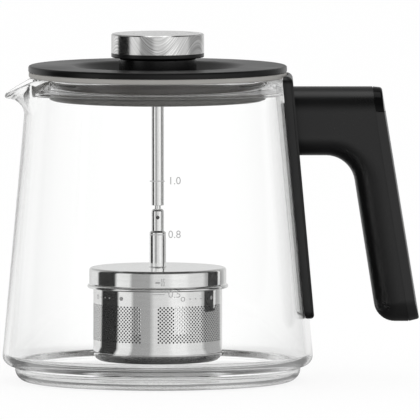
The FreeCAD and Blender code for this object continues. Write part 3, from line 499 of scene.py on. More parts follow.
# ---- Glass jug: a turned body whose neck is drawn out into the spout ----
def along(path, count):
    """Points at equal steps along a path, both ends included."""
    lengths = [math.dist(a, b) for a, b in zip(path, path[1:])]
    spaced = []
    for k in range(count + 1):
        left = sum(lengths) * k / count
        for (a, b), length in zip(zip(path, path[1:]), lengths):
            if left <= length + TINY:
                share = left / length
                spaced.append((a[0] + (b[0] - a[0]) * share, a[1] + (b[1] - a[1]) * share))
                break
            left -= length
    return spaced


def ellipse(centre, across, up, start, end, steps=24):
    """Points on an ellipse arc; angles in degrees from +X, counter-clockwise."""
    turns = [math.radians(start + (end - start) * k / steps) for k in range(steps + 1)]
    return [(centre[0] + across * math.cos(t), centre[1] + up * math.sin(t)) for t in turns]


NECK_STEPS = (18, 18, 30)
SPOUT_COLUMNS = 60
PLAIN_COLUMNS = 126


def jug_sections():
    """The shared lower outline, and the neck in step with itself as it is all round, with the thin
    wall it has beside the spout, and drawn out into the spout's tip."""
    step = FOOT_HEIGHT + GLASS
    root = glass_radius(SPOUT_START)
    outside = rounded([
        (0.0, 0.0), (FOOT_RADIUS, 0.0, 5.4), (FOOT_RADIUS, FOOT_HEIGHT, 0.8),
        (BODY_RADIUS, FOOT_HEIGHT, 4.5), (root, SPOUT_START),
    ])[:-1] + [(glass_radius(z), z) for z in (40.0, 75.0, 100.0)]
    inside = rounded([
        (root - GLASS, SPOUT_START), (glass_radius(step) - GLASS, step, 2.2),
        (FOOT_RADIUS - GLASS, step, 0.8), (FOOT_RADIUS - GLASS, GLASS, 2.2), (0.0, GLASS),
    ])[1:]
    root_point, _, *shoulder = rounded([
        (root, SPOUT_START), (NECK_RADIUS, JUG_HEIGHT, 5.5), (MOUTH_RADIUS, JUG_HEIGHT),
    ])
    neck_wall = [root_point, shoulder[0]]
    lip_centre = (MOUTH_RADIUS + LIP_ROUND, JUG_HEIGHT - LIP_ROUND)
    rim = shoulder[:-1] + ellipse(lip_centre, LIP_ROUND, LIP_ROUND, 90, 180, 6)
    lip = rounded([
        (MOUTH_RADIUS, JUG_HEIGHT - LIP_ROUND), (MOUTH_RADIUS, LIP_UNDER, 0.9),
        (glass_radius(LIP_UNDER) - GLASS, LIP_UNDER, 2.2), (root - GLASS, SPOUT_START),
    ])
    half_wall = SPOUT_WALL / 2
    top = JUG_HEIGHT - half_wall
    thin_wall = [(root, SPOUT_START), (NECK_RADIUS, top)]
    thin_rim = ellipse((NECK_RADIUS - half_wall, top), half_wall, half_wall, 0, 180, 12)
    thin_inside = [(NECK_RADIUS - SPOUT_WALL, top), (root - GLASS, SPOUT_START)]
    along_wall = SPOUT_REACH - root
    rise = SPOUT_UNDER - SPOUT_START
    centre = (SPOUT_REACH, SPOUT_START)
    under = ellipse(centre, along_wall, rise, 180, 90)
    bead = (SPOUT_REACH, SPOUT_UNDER + SPOUT_BEAD)
    tip = ellipse(bead, SPOUT_BEAD, SPOUT_BEAD, -90, 140, 18)
    channel = [tip[-1]]
    for degrees in range(108, 181, 3):
        turn = math.radians(degrees)
        wall = SPOUT_WALL + (GLASS - SPOUT_WALL) * (1 - math.sin(turn)) ** 2
        channel.append((centre[0] + (along_wall + wall) * math.cos(turn),
                        centre[1] + (rise + wall) * math.sin(turn)))
    shapes = ((neck_wall, rim, lip), (thin_wall, thin_rim, thin_inside), (under, tip, channel))
    necks = []
    for paths in shapes:
        spots = [spot for path, count in zip(paths, NECK_STEPS) for spot in along(path, count)[1:]]
        necks.append([complex(*spot) for spot in spots[:-1]])
    return outside, necks, inside


def glass_jug():
    lower, (rest, thin, drawn), inner = jug_sections()
    fine = 2 * SPOUT_HALF_ANGLE / SPOUT_COLUMNS
    angles = [180 - SPOUT_HALF_ANGLE + fine * k for k in range(SPOUT_COLUMNS + 1)]
    plain = (360 - 2 * SPOUT_HALF_ANGLE) / PLAIN_COLUMNS
    angles += [180 + SPOUT_HALF_ANGLE + plain * k for k in range(1, PLAIN_COLUMNS)]
    columns, points, faces = [], [], []
    for angle in angles:
        off = min(abs(angle - 180) / SPOUT_HALF_ANGLE, 1.0)
        share = math.cos(math.radians(90 * off)) ** 2
        near = min((1.0 - off) / LIP_FADE, 1.0)
        thinned = near * near * (3 - 2 * near)
        neck = [a + (b - a) * thinned + (c - b) * share for a, b, c in zip(rest, thin, drawn)]
        neck = [(spot.real, spot.imag) for spot in neck]
        column = []
        for radius, height in lower + neck + inner:
            if radius < TINY:
                column.append(None if columns else len(points))
                if not columns:
                    points.append((0.0, 0.0, height))
                continue
            column.append(len(points))
            points.append(polar(radius, math.radians(angle), height))
        columns.append([columns[0][i] if index is None else index
                        for i, index in enumerate(column)])
    for left, right in zip(columns, columns[1:] + columns[:1]):
        for i in range(len(left) - 1):
            add_face(faces, left[i], right[i], right[i + 1], left[i + 1])
    return make_piece("jug_glass", points, faces, GLASS_CLEAR, GLASS_SHARP_ANGLE)


mount(glass_jug(), "jug", "borosilicate_glass", "glass_jug")


# ---- Level marks on the front of the glass: plain numbers beside a tick ----
MARK_STAND = 0.03
NUMERAL_SIZE = 4.6
NUMERAL_LEFT = 4.6
TICK_HALF = 3.2
TICK_THICKNESS = 0.45
TICK_STEPS = 12


def front_point(across, z, offset=0.0):
    """A point on the front of the glass, at a distance across from an angle and at a height."""
    radius = glass_radius(z) + MARK_STAND
    turn = offset + across / radius
    return math.sin(turn) * radius, -math.cos(turn) * radius, z


def numeral(name, text, height):
    """A plain number printed on the glass beside its tick."""
    words = bpy.data.curves.new(name + "_outline", "FONT")
    words.body = text
    words.size = NUMERAL_SIZE * MM
    words.align_y = "CENTER"
    words.resolution_u = 4
    flat = linked(name + "_outline", words)
    bpy.context.view_layer.update()
    mesh = evaluated_mesh(flat)
    bpy.data.objects.remove(flat)
    offset = NUMERAL_LEFT / glass_radius(height)
    for vertex in mesh.vertices:
        across, up = vertex.co.x / MM, vertex.co.y / MM
        vertex.co = Vector(front_point(across, height + up, offset)) * MM
    mesh.materials.clear()
    mesh.materials.append(MARK_GREY)
    mount(linked(name, mesh), "jug", "borosilicate_glass")


def tick(name, height):
    """A thin printed line round the front of the glass."""
    points, faces = [], []
    for k in range(TICK_STEPS + 1):
        across = TICK_HALF * (2 * k / TICK_STEPS - 1)
        points += [front_point(across, height + side * TICK_THICKNESS / 2) for side in (-1, 1)]
        if k:
            at = 2 * k
            faces.append([at - 2, at, at + 1, at - 1])
    mount(make_piece(name, points, faces, MARK_GREY), "jug", "borosilicate_glass")


for level, (text, height) in enumerate((("1.0", 90.0), ("0.8", 67.2), ("0.5", 41.8)), start=1):
    tick(f"level_tick_{level}", height)
    numeral(f"level_number_{level}", text, height)


# ---- Lid, seal and carrier ----
BUSH_RADIUS = 5.0
HUB_RADIUS = 8.0
CARRIER_WALL = 2.0
CARRIER_FLOOR = CARRIER_UNDER + CARRIER_WALL
lid = lathe("lid_top", [
    (BUSH_RADIUS, CARRIER_FLOOR), (HUB_RADIUS, CARRIER_FLOOR), (HUB_RADIUS, BOSS_TOP - LID_SHELL),
    (BOSS_RADIUS - LID_SHELL, BOSS_TOP - LID_SHELL),
    (BOSS_RADIUS - LID_SHELL, BOWL_FLOOR - LID_SHELL),
    (BOWL_FLOOR_RADIUS, BOWL_FLOOR - LID_SHELL), (BOWL_RADIUS, LID_UNDER),
    (LID_RADIUS, LID_UNDER, 0.45), (LID_RADIUS, LID_TOP, 0.9), (BOWL_RADIUS, LID_TOP, 8.0),
    (BOWL_FLOOR_RADIUS, BOWL_FLOOR, 8.0), (BOSS_RADIUS, BOWL_FLOOR, 1.0),
    (BOSS_RADIUS, BOSS_TOP, 1.0), (BUSH_RADIUS, BOSS_TOP),
], LID_BLACK, FINE_TURN)
# The boss is painted a darker black than the rest of the lid: painted shade under the knob.
paint(lid, SHADED_BOSS_BLACK, lambda face: face.center.z > (BOWL_FLOOR + 0.2) * MM
      and face.center.xy.length < (BOSS_RADIUS + 0.1) * MM)
paint(lid, LID_SIDE, lambda face: face.center.xy.length > (LID_RADIUS - 0.3) * MM)
mount(lid, "lid", "black_lid_plastic", "lid_disc")

CARRIER_BORE = STEM_RADIUS + 0.3
carrier = lathe("seal_cup", [
    (CARRIER_BORE, CARRIER_UNDER), (CARRIER_RADIUS, CARRIER_UNDER, 1.0),
    (CARRIER_RADIUS, LID_UNDER), (CARRIER_RADIUS - CARRIER_WALL, LID_UNDER),
    (CARRIER_RADIUS - CARRIER_WALL, CARRIER_FLOOR, 1.0), (CARRIER_BORE, CARRIER_FLOOR),
], CARRIER)
mount(carrier, "lid", "carrier_plastic", "seal_carrier")

PLUG = 47.6
TIP = 46.4
GROOVE = 1.0
SEAL_BORE = CARRIER_RADIUS + 0.02
FLANGE = LID_RADIUS - 0.2
RIB_MIDDLE = (RIB_UNDER + FLANGE_UNDER) / 2
seal = lathe("seal_ring", [
    (SEAL_BORE, SEAL_TIP), (TIP, SEAL_TIP, 2.0), (TIP, RIB_UNDER - GROOVE, 0.25),
    (TIP - GROOVE, RIB_UNDER - GROOVE, 0.25), (TIP - GROOVE, RIB_UNDER, 0.25),
    (PLUG, RIB_UNDER, 0.6), (PLUG, RIB_MIDDLE - GROOVE / 2, 0.2), (PLUG - GROOVE, RIB_MIDDLE, 0.2),
    (PLUG, RIB_MIDDLE + GROOVE / 2, 0.2), (PLUG, FLANGE_UNDER, 0.2),
    (FLANGE, FLANGE_UNDER, 0.6), (FLANGE, LID_UNDER, 0.6), (SEAL_BORE, LID_UNDER),
], SILICONE, FINE_TURN)
paint(seal, PLUG_SILICONE, lambda face: face.center.z < (FLANGE_UNDER - 0.1) * MM)
paint(seal, TIP_SILICONE, lambda face: face.center.z < (RIB_UNDER - 0.1) * MM)
mount(seal, "lid", "warm_grey_silicone", "lid_seal")

# ---- Knob, rod and stem ----
CAP_WALL = 1.2
KNOB_CHAMFER = 0.5
knob_top = lathe("knob_top", [
    (0.0, KNOB_TOP - CAP_WALL), (KNOB_RADIUS - CAP_WALL, KNOB_TOP - CAP_WALL),
    (KNOB_RADIUS - CAP_WALL, KNOB_CAP_UNDER), (KNOB_RADIUS, KNOB_CAP_UNDER, 0.15),
    (KNOB_RADIUS, KNOB_TOP - KNOB_CHAMFER, 0.12), (KNOB_RADIUS - KNOB_CHAMFER, KNOB_TOP, 0.12),
    (0.0, KNOB_TOP),
], KNOB_STEEL, FINE_TURN)
paint(knob_top, KNOB_FACE_STEEL, lambda face: face.normal.z > 0.9)
mount(knob_top, "infuser", "brushed_knob_steel", "knob_cap")

CORE_BORE = 9.0
SCREW_WELL = 3.05
SCREW_BORE = 1.55
SCREW_SEAT = ROD_TOP + 1.8
knob_core = lathe("knob_collar", [
    (CORE_BORE, KNOB_UNDER), (KNOB_RADIUS, KNOB_UNDER, 0.4), (KNOB_RADIUS, KNOB_CAP_UNDER, 0.12),
    (KNOB_RADIUS - CAP_WALL, KNOB_CAP_UNDER), (KNOB_RADIUS - CAP_WALL, KNOB_TOP - CAP_WALL),
    (SCREW_WELL, KNOB_TOP - CAP_WALL), (SCREW_WELL, SCREW_SEAT), (SCREW_BORE, SCREW_SEAT),
    (SCREW_BORE, ROD_TOP), (CORE_BORE, ROD_TOP),
], BLACK, FINE_TURN)
mount(knob_core, "infuser", "black_plastic", "knob_core")

NECK_PIN = 1.3
NECK_PIN_END = ROD_END - 9.5
rod = lathe("rod", [
    (0.0, NECK_PIN_END), (NECK_PIN, NECK_PIN_END), (NECK_PIN, ROD_END), (ROD_RADIUS, ROD_END, 0.25),
    (ROD_RADIUS, ROD_TOP), (0.0, ROD_TOP),
], ROD_STEEL, ROD_TURN)
mount(rod, "infuser", "polished_steel", "lift_rod")

STUD_RADIUS = 2.0
STEM_BORE = NECK_PIN + 0.02
STEM_BORE_END = STEM_TOP - 8.0
PIN_HOLE = 0.78
stem = lathe("stem", [
    (0.0, STEM_FOOT), (STUD_RADIUS, STEM_FOOT), (STUD_RADIUS, COVER_TOP), (STEM_RADIUS, COVER_TOP),
    (STEM_RADIUS, STEM_STEP - 0.7, 0.2), (ROD_RADIUS, STEM_STEP, 0.2), (ROD_RADIUS, STEM_TOP, 1.2),
    (STEM_BORE, STEM_TOP), (STEM_BORE, STEM_BORE_END), (0.0, STEM_BORE_END),
], ROD_STEEL, ROD_TURN)
drill_across(stem, PIN_HOLE, PIN_HEIGHT, 4.0)
mount(stem, "infuser", "polished_steel", "lower_stem")

weld = lathe("stem_weld", [
    (STEM_RADIUS - 0.1, COVER_TOP - 0.1), (STEM_RADIUS + 0.5, COVER_TOP - 0.1, 0.1),
    (STEM_RADIUS + 0.25, COVER_TOP + 0.35, 0.15), (STEM_RADIUS - 0.1, COVER_TOP + 0.45),
], ROD_STEEL, ROD_TURN)
mount(weld, "infuser", "polished_steel")


# ---- Infuser lid, with its bayonet lugs and stops ----
BAYONET_WIDTH = 14.0
BAYONET_STARTS = [30.0 + 120.0 * k - BAYONET_WIDTH / 2 for k in range(3)]
LUG_BORE = BASKET_RADIUS + 0.3
LUG_UNDER = LUG_TOP - 1.2
LUG_GAP = 0.3
TAB_TOP = LUG_TOP + 1.3
SKIRT_BORE = COVER_RADIUS - SHEET


def cover_sheet(first):
    under = COVER_TOP - SHEET
    return turned(rounded([
        (STUD_RADIUS, under), (SKIRT_BORE, under, 0.4), (SKIRT_BORE, COVER_SKIRT),
        (COVER_RADIUS, COVER_SKIRT, 0.15), (COVER_RADIUS, COVER_TOP, 1.2), (STUD_RADIUS, COVER_TOP),
    ]), FINE_TURN, first)


lugs = [block(LUG_BORE, SKIRT_BORE + 0.1, LUG_UNDER, LUG_TOP, start, BAYONET_WIDTH)
        for start in BAYONET_STARTS]
stops = [block(LUG_BORE, SKIRT_BORE + 0.1, LUG_UNDER, TAB_TOP, start - 2.6, 1.6, 3)
         for start in BAYONET_STARTS]
cover = make_piece("infuser_cover", *merged(cover_sheet, *lugs, *stops), POLISHED)
mount(cover, "infuser", "polished_steel", "infuser_lid")


# ---- Basket: one sheet with its wall pierced in four patches ----
COLUMNS = 216
PATCH_COLUMNS = 45
ROWS = 20
BAND_LOW = 17.9
BAND_HIGH = 33.7
HOLE = 0.4


def basket_profile():
    """The outside of the cup up to the pierced band, and above it."""
    low = rounded([
        (0.0, BASKET_BOTTOM), (BASKET_RADIUS, BASKET_BOTTOM, 4.0), (BASKET_RADIUS, BAND_LOW),
    ])
    high = [(BASKET_RADIUS, z) for z in (BAND_HIGH, BEAD_HEIGHT, BASKET_NECK)]
    return low[1:-1], high


def basket_wall():
    """The cup's outer sheet; a pierced cell is its four corners round an eight-sided hole."""
    low, high = basket_profile()
    pitch = (BAND_HIGH - BAND_LOW) / ROWS
    rings = low + [(BASKET_RADIUS, BAND_LOW + pitch * k) for k in range(ROWS)] + high
    first_band = len(low)
    points = [(0.0, 0.0, BASKET_BOTTOM)]
    faces = []

    def at(ring, column):
        return 1 + ring * COLUMNS + column % COLUMNS

    for radius, height in rings:
        points += [polar(radius, 2 * math.pi * k / COLUMNS, height) for k in range(COLUMNS)]
    faces += [[0, at(0, k + 1), at(0, k)] for k in range(COLUMNS)]
    for ring in range(len(rings) - 1):
        for column in range(COLUMNS):
            corners = [at(ring, column), at(ring, column + 1),
                       at(ring + 1, column + 1), at(ring + 1, column)]
            row = ring - first_band
            in_patch = column % (COLUMNS // 4) < PATCH_COLUMNS
            if not (0 <= row < ROWS and in_patch and (row + column) % 2 == 0):
                faces.append(corners)
                continue
            middle = 2 * math.pi * (column + 0.5) / COLUMNS
            hole = []
            for k in range(8):
                turn = math.radians(45 * k - 112.5)
                angle = middle + HOLE * math.cos(turn) / BASKET_RADIUS
                z = BAND_LOW + pitch * (row + 0.5) + HOLE * math.sin(turn)
                hole.append(len(points))
                points.append(polar(BASKET_RADIUS, angle, z))
            for side in range(4):
                after = (side + 1) % 4
                faces.append([corners[side], corners[after], hole[2 * after], hole[2 * side + 1]])
                faces.append([corners[side], hole[2 * side + 1], hole[2 * side]])
    return points, faces


basket = make_piece("basket_cup", *basket_wall(), BASKET_STEEL)
# The inside of the cup and the walls of its holes take the near-black steel: painted shade.
basket.data.materials.append(SHADED_INNER_STEEL)
sheet_metal = basket.modifiers.new("sheet", "SOLIDIFY")
sheet_metal.thickness = BASKET_SHEET * MM
sheet_metal.offset = -1.0
sheet_metal.use_even_offset = True
sheet_metal.material_offset = 1
sheet_metal.material_offset_rim = 1
applied(basket)
mount(basket, "basket", "basket_steel", "basket_shell")
tabs = [block(BASKET_RADIUS - 0.3, SKIRT_BORE - LUG_GAP, LUG_TOP + LUG_GAP, TAB_TOP,
              start, BAYONET_WIDTH) for start in BAYONET_STARTS]
mount(make_piece("basket_tabs", *merged(*tabs), BASKET_STEEL), "basket", "basket_steel")


SPOT_SIDES = 24


def spot(name, degrees, height, outer, inner=0.0):
    """A printed ring, or a dot where the inner radius is 0, on the basket's neck."""
    points = []
    for k in range(SPOT_SIDES):
        turn = 2 * math.pi * k / SPOT_SIDES
        for size in (inner, outer) if inner else (outer,):
            angle = math.radians(degrees - 90) + size * math.cos(turn) / BASKET_RADIUS
            points.append(polar(BASKET_RADIUS + MARK_STAND, angle, height + size * math.sin(turn)))
    faces = [list(range(SPOT_SIDES))]
    if inner:
        faces = [[at % len(points) for at in (2 * k, 2 * k + 1, 2 * k + 3, 2 * k + 2)]
                 for k in range(SPOT_SIDES)]
    mount(make_piece(name, points, faces, MARK_GREY), "basket", "basket_steel")


MARK_HEIGHT = 36.9
for turn in range(4):
    shut, ajar = -34.0 + 90.0 * turn, 23.0 + 90.0 * turn
    spot(f"basket_dot_{turn}", shut, MARK_HEIGHT, 0.9)
    spot(f"basket_ring_{turn}", ajar, MARK_HEIGHT, 1.0, 0.7)
    for k in range(3):
        spot(f"basket_step_{turn}_{k}", ajar + 7.0 + 6.0 * k, MARK_HEIGHT, 0.3)

bead_middle = BEAD_REACH - BEAD_RADIUS
bead_profile = [
    (BASKET_RADIUS + 0.02, BEAD_HEIGHT - 0.4), (BASKET_RADIUS + 0.02, BEAD_HEIGHT + 0.4),
    *ellipse((bead_middle, BEAD_HEIGHT), BEAD_RADIUS, BEAD_RADIUS, 150, -150, 20),
]
rim = make_piece("basket_bead", *turned(bead_profile, FINE_TURN), POLISHED)
mount(rim, "basket", "polished_steel", "basket_rim")


# ---- Bracket strip: pad, bracket and cover ----
def strip(name, margin, inner, outer, material, edge_round=0.0):
    """A rounded sheet on the handle side, a margin smaller all round than the strip, between two
    faces x = inner(y, z) and x = outer(y, z)."""
    bottom, top = STRIP_BOTTOM + margin, STRIP_TOP - margin
    half = STRIP_HALF_WIDTH - margin
    corner = STRIP_CORNER - margin
    columns, rows, arc_steps = 24, 12, 8
    arc = [math.radians(90 * k / arc_steps) for k in range(arc_steps + 1)]
    heights = [bottom + corner * (1 - math.cos(a)) for a in arc]
    heights += [bottom + corner + (top - bottom - 2 * corner) * k / rows for k in range(1, rows)]
    heights += [top - corner * (1 - math.cos(a)) for a in reversed(arc)]
    points, faces = [], []
    for face_of in (inner, outer):
        for z in heights:
            near_end = max(0.0, corner - min(z - bottom, top - z))
            width = half - corner + math.sqrt(max(0.0, corner ** 2 - near_end ** 2))
            for k in range(columns + 1):
                y = width * (2 * k / columns - 1)
                points.append((face_of(y, z), y, z))
    row = columns + 1
    layer = row * len(heights)
    for i in range(len(heights) - 1):
        for k in range(columns):
            at = i * row + k
            faces.append([at, at + row, at + row + 1, at + 1])
            faces.append([layer + at, layer + at + 1, layer + at + row + 1, layer + at + row])
    border = [i * row for i in range(len(heights))]
    border += [(len(heights) - 1) * row + k for k in range(1, row)]
    border += [i * row + columns for i in reversed(range(len(heights) - 1))]
    border += range(columns - 1, 0, -1)
    for here, after in zip(border, border[1:] + border[:1]):
        faces.append([here, after, layer + after, layer + here])
    piece = make_piece(name, points, faces, material)
    if edge_round:
        bevel = piece.modifiers.new("edge", "BEVEL")
        bevel.width = edge_round * MM
        bevel.segments = 3
        bevel.limit_method = "ANGLE"
        bevel.angle_limit = math.radians(50)
        applied(piece)
    return piece


def round_the_glass(clearance):
    """A face that follows the glass at a distance."""
    return lambda y, z: math.sqrt(glass_radius(z) ** 2 - y ** 2) + clearance


def beside_the_glass(reach, least):
    """A face that runs straight beside the glass and turns back towards it at both ends."""
    under = STRIP_REACH - reach

    def face_of(y, z):
        x = glass_radius(z) + reach
        ends = (STRIP_TOP - z, STRIP_TOP_ROUND), (z - STRIP_BOTTOM, STRIP_BOTTOM_ROUND)
        for away, size in ends:
            left = size - max(under, away)
            if left > 0.0:
                x -= size - under - math.sqrt((size - under) ** 2 - left ** 2)
        return max(x, round_the_glass(PAD + least)(y, z))
    return face_of


pad = strip("strip_pad", PAD_MARGIN, round_the_glass(PAD_FILM),
            round_the_glass(PAD - PAD_FILM), ADHESIVE)
# The pale part of the pad glows: painted light.
paint(pad, GLOWING_PALE_ADHESIVE,
      lambda face: face.center.y > PALE_GLOW_FROM_Y * MM or face.center.z > PALE_GLOW_FROM_Z * MM)
mount(pad, "jug", "grey_adhesive", "bracket_pad")

BRACKET_REACH = STRIP_REACH - STRIP_COVER
bracket = strip("strip_bracket", 0.0, round_the_glass(PAD), beside_the_glass(BRACKET_REACH, 0.15),
                STRIP_BLACK, 0.15)
mount(bracket, "jug", "black_plastic", "handle_bracket")
seam = strip("strip_core", STRIP_SEAM_DEPTH, beside_the_glass(BRACKET_REACH - STRIP_SEAM, 0.1),
             beside_the_glass(BRACKET_REACH + 2 * STRIP_SEAM, 0.3), BLACK)
mount(seam, "jug", "black_plastic")
front = strip("strip_cover", 0.0, beside_the_glass(BRACKET_REACH + STRIP_SEAM, 0.2),
              beside_the_glass(STRIP_REACH, 0.45), STRIP_BLACK, 0.3)
mount(front, "jug", "black_plastic", "bracket_cover")


# ---- Handle: one rounded bar, cut along its parting lines into grip, back cover and thumb cap ----
BACK_SLOPE = (PARTING_BOTTOM - BEND_X) / (BEND_Z - GRIP_BOTTOM)
UPPER_SLOPE = (BEND_X - PARTING_TOP) / (ARM_TOP - BEND_Z)
BACK_BOTTOM = GRIP_BOTTOM + 1.1
BACK_TOP = ARM_TOP - 0.4
SIDE_ROUND = 10.5
SIDE_DEPTH = 10.45
SIDE_STEPS = 14
SMALLEST_ROUND = 0.4
SEAM = 0.12
SEAM_DEPTH = 0.35
CORE_HALF = 1.0


def back_face(z):
    return BEND_X + (BEND_Z - z) * BACK_SLOPE + BACK


def strip_face(z):
    return glass_radius(z) + STRIP_REACH


# Corners (x, z, radius) and, for the side after each corner, its share of SIDE_ROUND.
HANDLE = [
    ((strip_face(ARM_UNDER), ARM_UNDER, 0.0), 0.9),
    ((GRIP_CORNER, ARM_UNDER, 12.5), 1.13),
    ((GRIP_FOOT, GRIP_BOTTOM, 9.0), 0.95),
    ((PARTING_BOTTOM, GRIP_BOTTOM, 0.0), 0.95),
    ((back_face(BACK_BOTTOM), BACK_BOTTOM, 1.0), 0.08),
    ((back_face(BACK_TOP), BACK_TOP, 1.4), 1.0),
    ((PARTING_TOP, ARM_TOP, 0.0), 1.0),
    ((strip_face(ARM_TOP), ARM_TOP, 0.0), 0.0),
]


def meeting(a, a_way, b, b_way):
    """Where two lines cross, each given by a point and a unit direction."""
    cross = (a_way.conjugate() * b_way).imag
    return a + a_way * ((b - a).conjugate() * b_way).imag / cross


def handle_outline(depth):
    """The handle's side view with each side moved inwards by its share of a depth."""
    spots = [complex(x, z) for (x, z, _), _ in HANDLE]
    ways = [unit(after - here) for here, after in zip(spots, spots[1:] + spots[:1])]
    shares = [share for _, share in HANDLE]
    corners = []
    for i, ((_, _, radius), _) in enumerate(HANDLE):
        before, after = 1j * ways[i - 1] * shares[i - 1], 1j * ways[i] * shares[i]
        spot = meeting(spots[i] + before * depth, ways[i - 1], spots[i] + after * depth, ways[i])
        hollow = (ways[i - 1].conjugate() * ways[i]).imag < 0
        moved = depth * min(shares[i - 1], shares[i])
        left = radius + moved if hollow else max(radius - moved, SMALLEST_ROUND)
        corners.append((spot.real, spot.imag, left) if radius else (spot.real, spot.imag))
    return rounded(corners, 10)


def handle_bar(under):
    """Points and faces of the whole bar, in layers from one side to the other, or of its inside
    at a depth under the surface."""
    turns = [math.radians(90 * k / SIDE_STEPS) for k in range(SIDE_STEPS + 1)]
    layers = [(HANDLE_HALF_WIDTH - SIDE_DEPTH * (1 - math.sin(t)) - under * math.sin(t),
               SIDE_ROUND * (1 - math.cos(t)) + under) for t in turns]
    layers.append((HANDLE_HALF_WIDTH - under, SIDE_ROUND + under + 0.3))
    both = [(-y, depth) for y, depth in reversed(layers)] + layers
    points, faces = [], []
    for y, depth in both:
        points += [(x, y, z) for x, z in handle_outline(depth)]
    count = len(points) // len(both)
    for layer in range(len(both) - 1):
        faces += band(layer * count, (layer + 1) * count, count)
    faces.append(list(range(count)))
    faces.append(list(range((len(both) - 1) * count, len(both) * count)))
    return points, faces


def parting(z, gap):
    """X of the parting line between grip and back at a height, moved by a gap."""
    slope = BACK_SLOPE if z < BEND_Z else UPPER_SLOPE
    return BEND_X + (BEND_Z - z) * slope + gap


def parted(gap, *heights):
    """Points on the parting line, moved by a gap, at some heights."""
    return [(parting(z, gap), z) for z in heights]


def cut_piece(name, region, material, under=0.0):
    """The part of the bar, or of its inside at a depth, that lies in a region of the side view."""
    piece = make_piece(name, *handle_bar(under), material)
    count = len(region)
    width = HANDLE_HALF_WIDTH + 1.0
    points = [(x, y, z) for y in (-width, width) for x, z in region]
    faces = [list(range(count)), list(range(count, 2 * count)), *band(0, count, count)]
    cutter = make_piece("cutter", points, faces, FIXING_STEEL)
    cut_with(piece, cutter, "INTERSECT")
    piece.data.materials.clear()
    piece.data.materials.append(material)
    return piece


LOW, HIGH, FAR_LEFT, FAR_RIGHT = GRIP_BOTTOM - 5.0, ARM_TOP + 5.0, 40.0, 130.0
grip = cut_piece("grip", [
    (FAR_LEFT, LOW), *parted(-SEAM, LOW, BEND_Z, HIGH), (FAR_LEFT, HIGH),
], BLACK)
mount(grip, "jug", "black_plastic", "handle_grip")
# The back cover takes the lighter black: painted light.
back_low = cut_piece("grip_back", [
    *parted(SEAM, LOW), (FAR_RIGHT, LOW), (FAR_RIGHT, CAP_BOTTOM - SEAM),
    (parting(CAP_BOTTOM, SEAM), CAP_BOTTOM - SEAM), *parted(SEAM, BEND_Z),
], LIT_BACK_BLACK)
mount(back_low, "jug", "black_plastic", "handle_back_cover")
thumb = cut_piece("thumb_button", [
    (parting(CAP_BOTTOM, SEAM), CAP_BOTTOM + SEAM), (FAR_RIGHT, CAP_BOTTOM + SEAM),
    (FAR_RIGHT, HIGH), *parted(SEAM, HIGH),
], GLOSS_BLACK)
mount(thumb, "jug", "gloss_black_plastic", "thumb_cap")
core = cut_piece("seam_core", [
    *parted(-CORE_HALF, LOW), *parted(CORE_HALF, LOW, BEND_Z, HIGH),
    *parted(-CORE_HALF, HIGH, BEND_Z),
], BLACK, SEAM_DEPTH)
mount(core, "jug", "black_plastic")

# ---- CAD pieces that stay as they are ----
KEPT = {
    "lid_screws": FIXING_STEEL, "knob_screw": FIXING_STEEL, "stud_washer": FIXING_STEEL,
    "stud_nut": FIXING_STEEL, "handle_screws": FIXING_STEEL, "stem_pin": PIN_STEEL,
    "grip_ring": DARK_SILICONE, "rod_bush": BUSH_WHITE,
}
for node, made in KEPT.items():
    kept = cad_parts[node]
    if not kept.material_slots:
        kept.data.materials.append(made)
    for place in kept.material_slots:
        place.material = made


# ---- Floor, light and camera ----
CAMERA_ELEVATION = 4.0
AIM = (22.5, 0.0, 73.5)
LENS = 1500.0
SENSOR = 36.0
FIELD = 180.6
CLIP_END = 100.0
KEY_SIDE = (30.0, 55.0)
KEY_DISTANCE = 1.6
KEY_SIZE = 0.9
KEY_POWER = 2.0
# Light that is trapped in the glass wall needs many bounces to get out.
BOUNCES = 160
GLASS_BOUNCES = 64

# What mirrors and bent light see round the horizon: azimuth in degrees from the camera's side
# towards +X, and brightness. Soft boxes stand between dark cards.
STUDIO = [
    (-180, 0.75), (-150, 0.75), (-140, 0.85), (-119, 0.85), (-113, 0.01), (-76, 0.01), (-70, 0.95),
    (-48, 0.9), (-42, 0.38), (-14, 0.4), (-6, 0.76), (16, 0.8), (26, 1.0), (46, 1.0), (56, 0.82),
    (80, 0.78), (88, 0.4), (135, 0.42), (150, 0.75), (180, 0.75),
]
GLASS_CONTRAST = 0.5
MATTE_LEVEL = 0.92
FLOOR_MATTE_LEVEL = 0.6
FLOOR_GLOW_SHARE = 0.85
FLOOR_GLOW = 1.03
# Ramps: a value's start and end, and the levels there. The values are parts of a direction for the
# world, and distances from the axis in metres on the floor.
RING_BY_HEIGHT = (0.05, 0.6, 1.0, 0.0)
HIGH_BY_DEPTH = (0.0, 0.5, 0.03, 0.35)
OVERHEAD_BY_HEIGHT = (0.93, 0.98, 0.0, 1.6)
BEHIND_GLASS_BY_SIDE = (0.05, 0.55, 1.08, 0.84)
# The last three ramps darken the floor close to the object where mirrors and glass see it: painted
# shadow.
FLOOR_SHADOW_IN_MIRRORS = (0.03, 0.3, 0.04, 1.0)
FLOOR_SHADOW_IN_JUG_MIRRORS = (0.045, 0.09, 0.04, 1.0)
FLOOR_SHADOW_IN_GLASS = (0.06, 0.3, 0.3, 1.0)


def blended(tree, share, without, with_it):
    """The first value where the share is 0 and the second where it is 1."""
    node = add_node(tree, "ShaderNodeMix", Factor=share)
    feed(tree, node.inputs[2], without)
    feed(tree, node.inputs[3], with_it)
    return node.outputs[0]


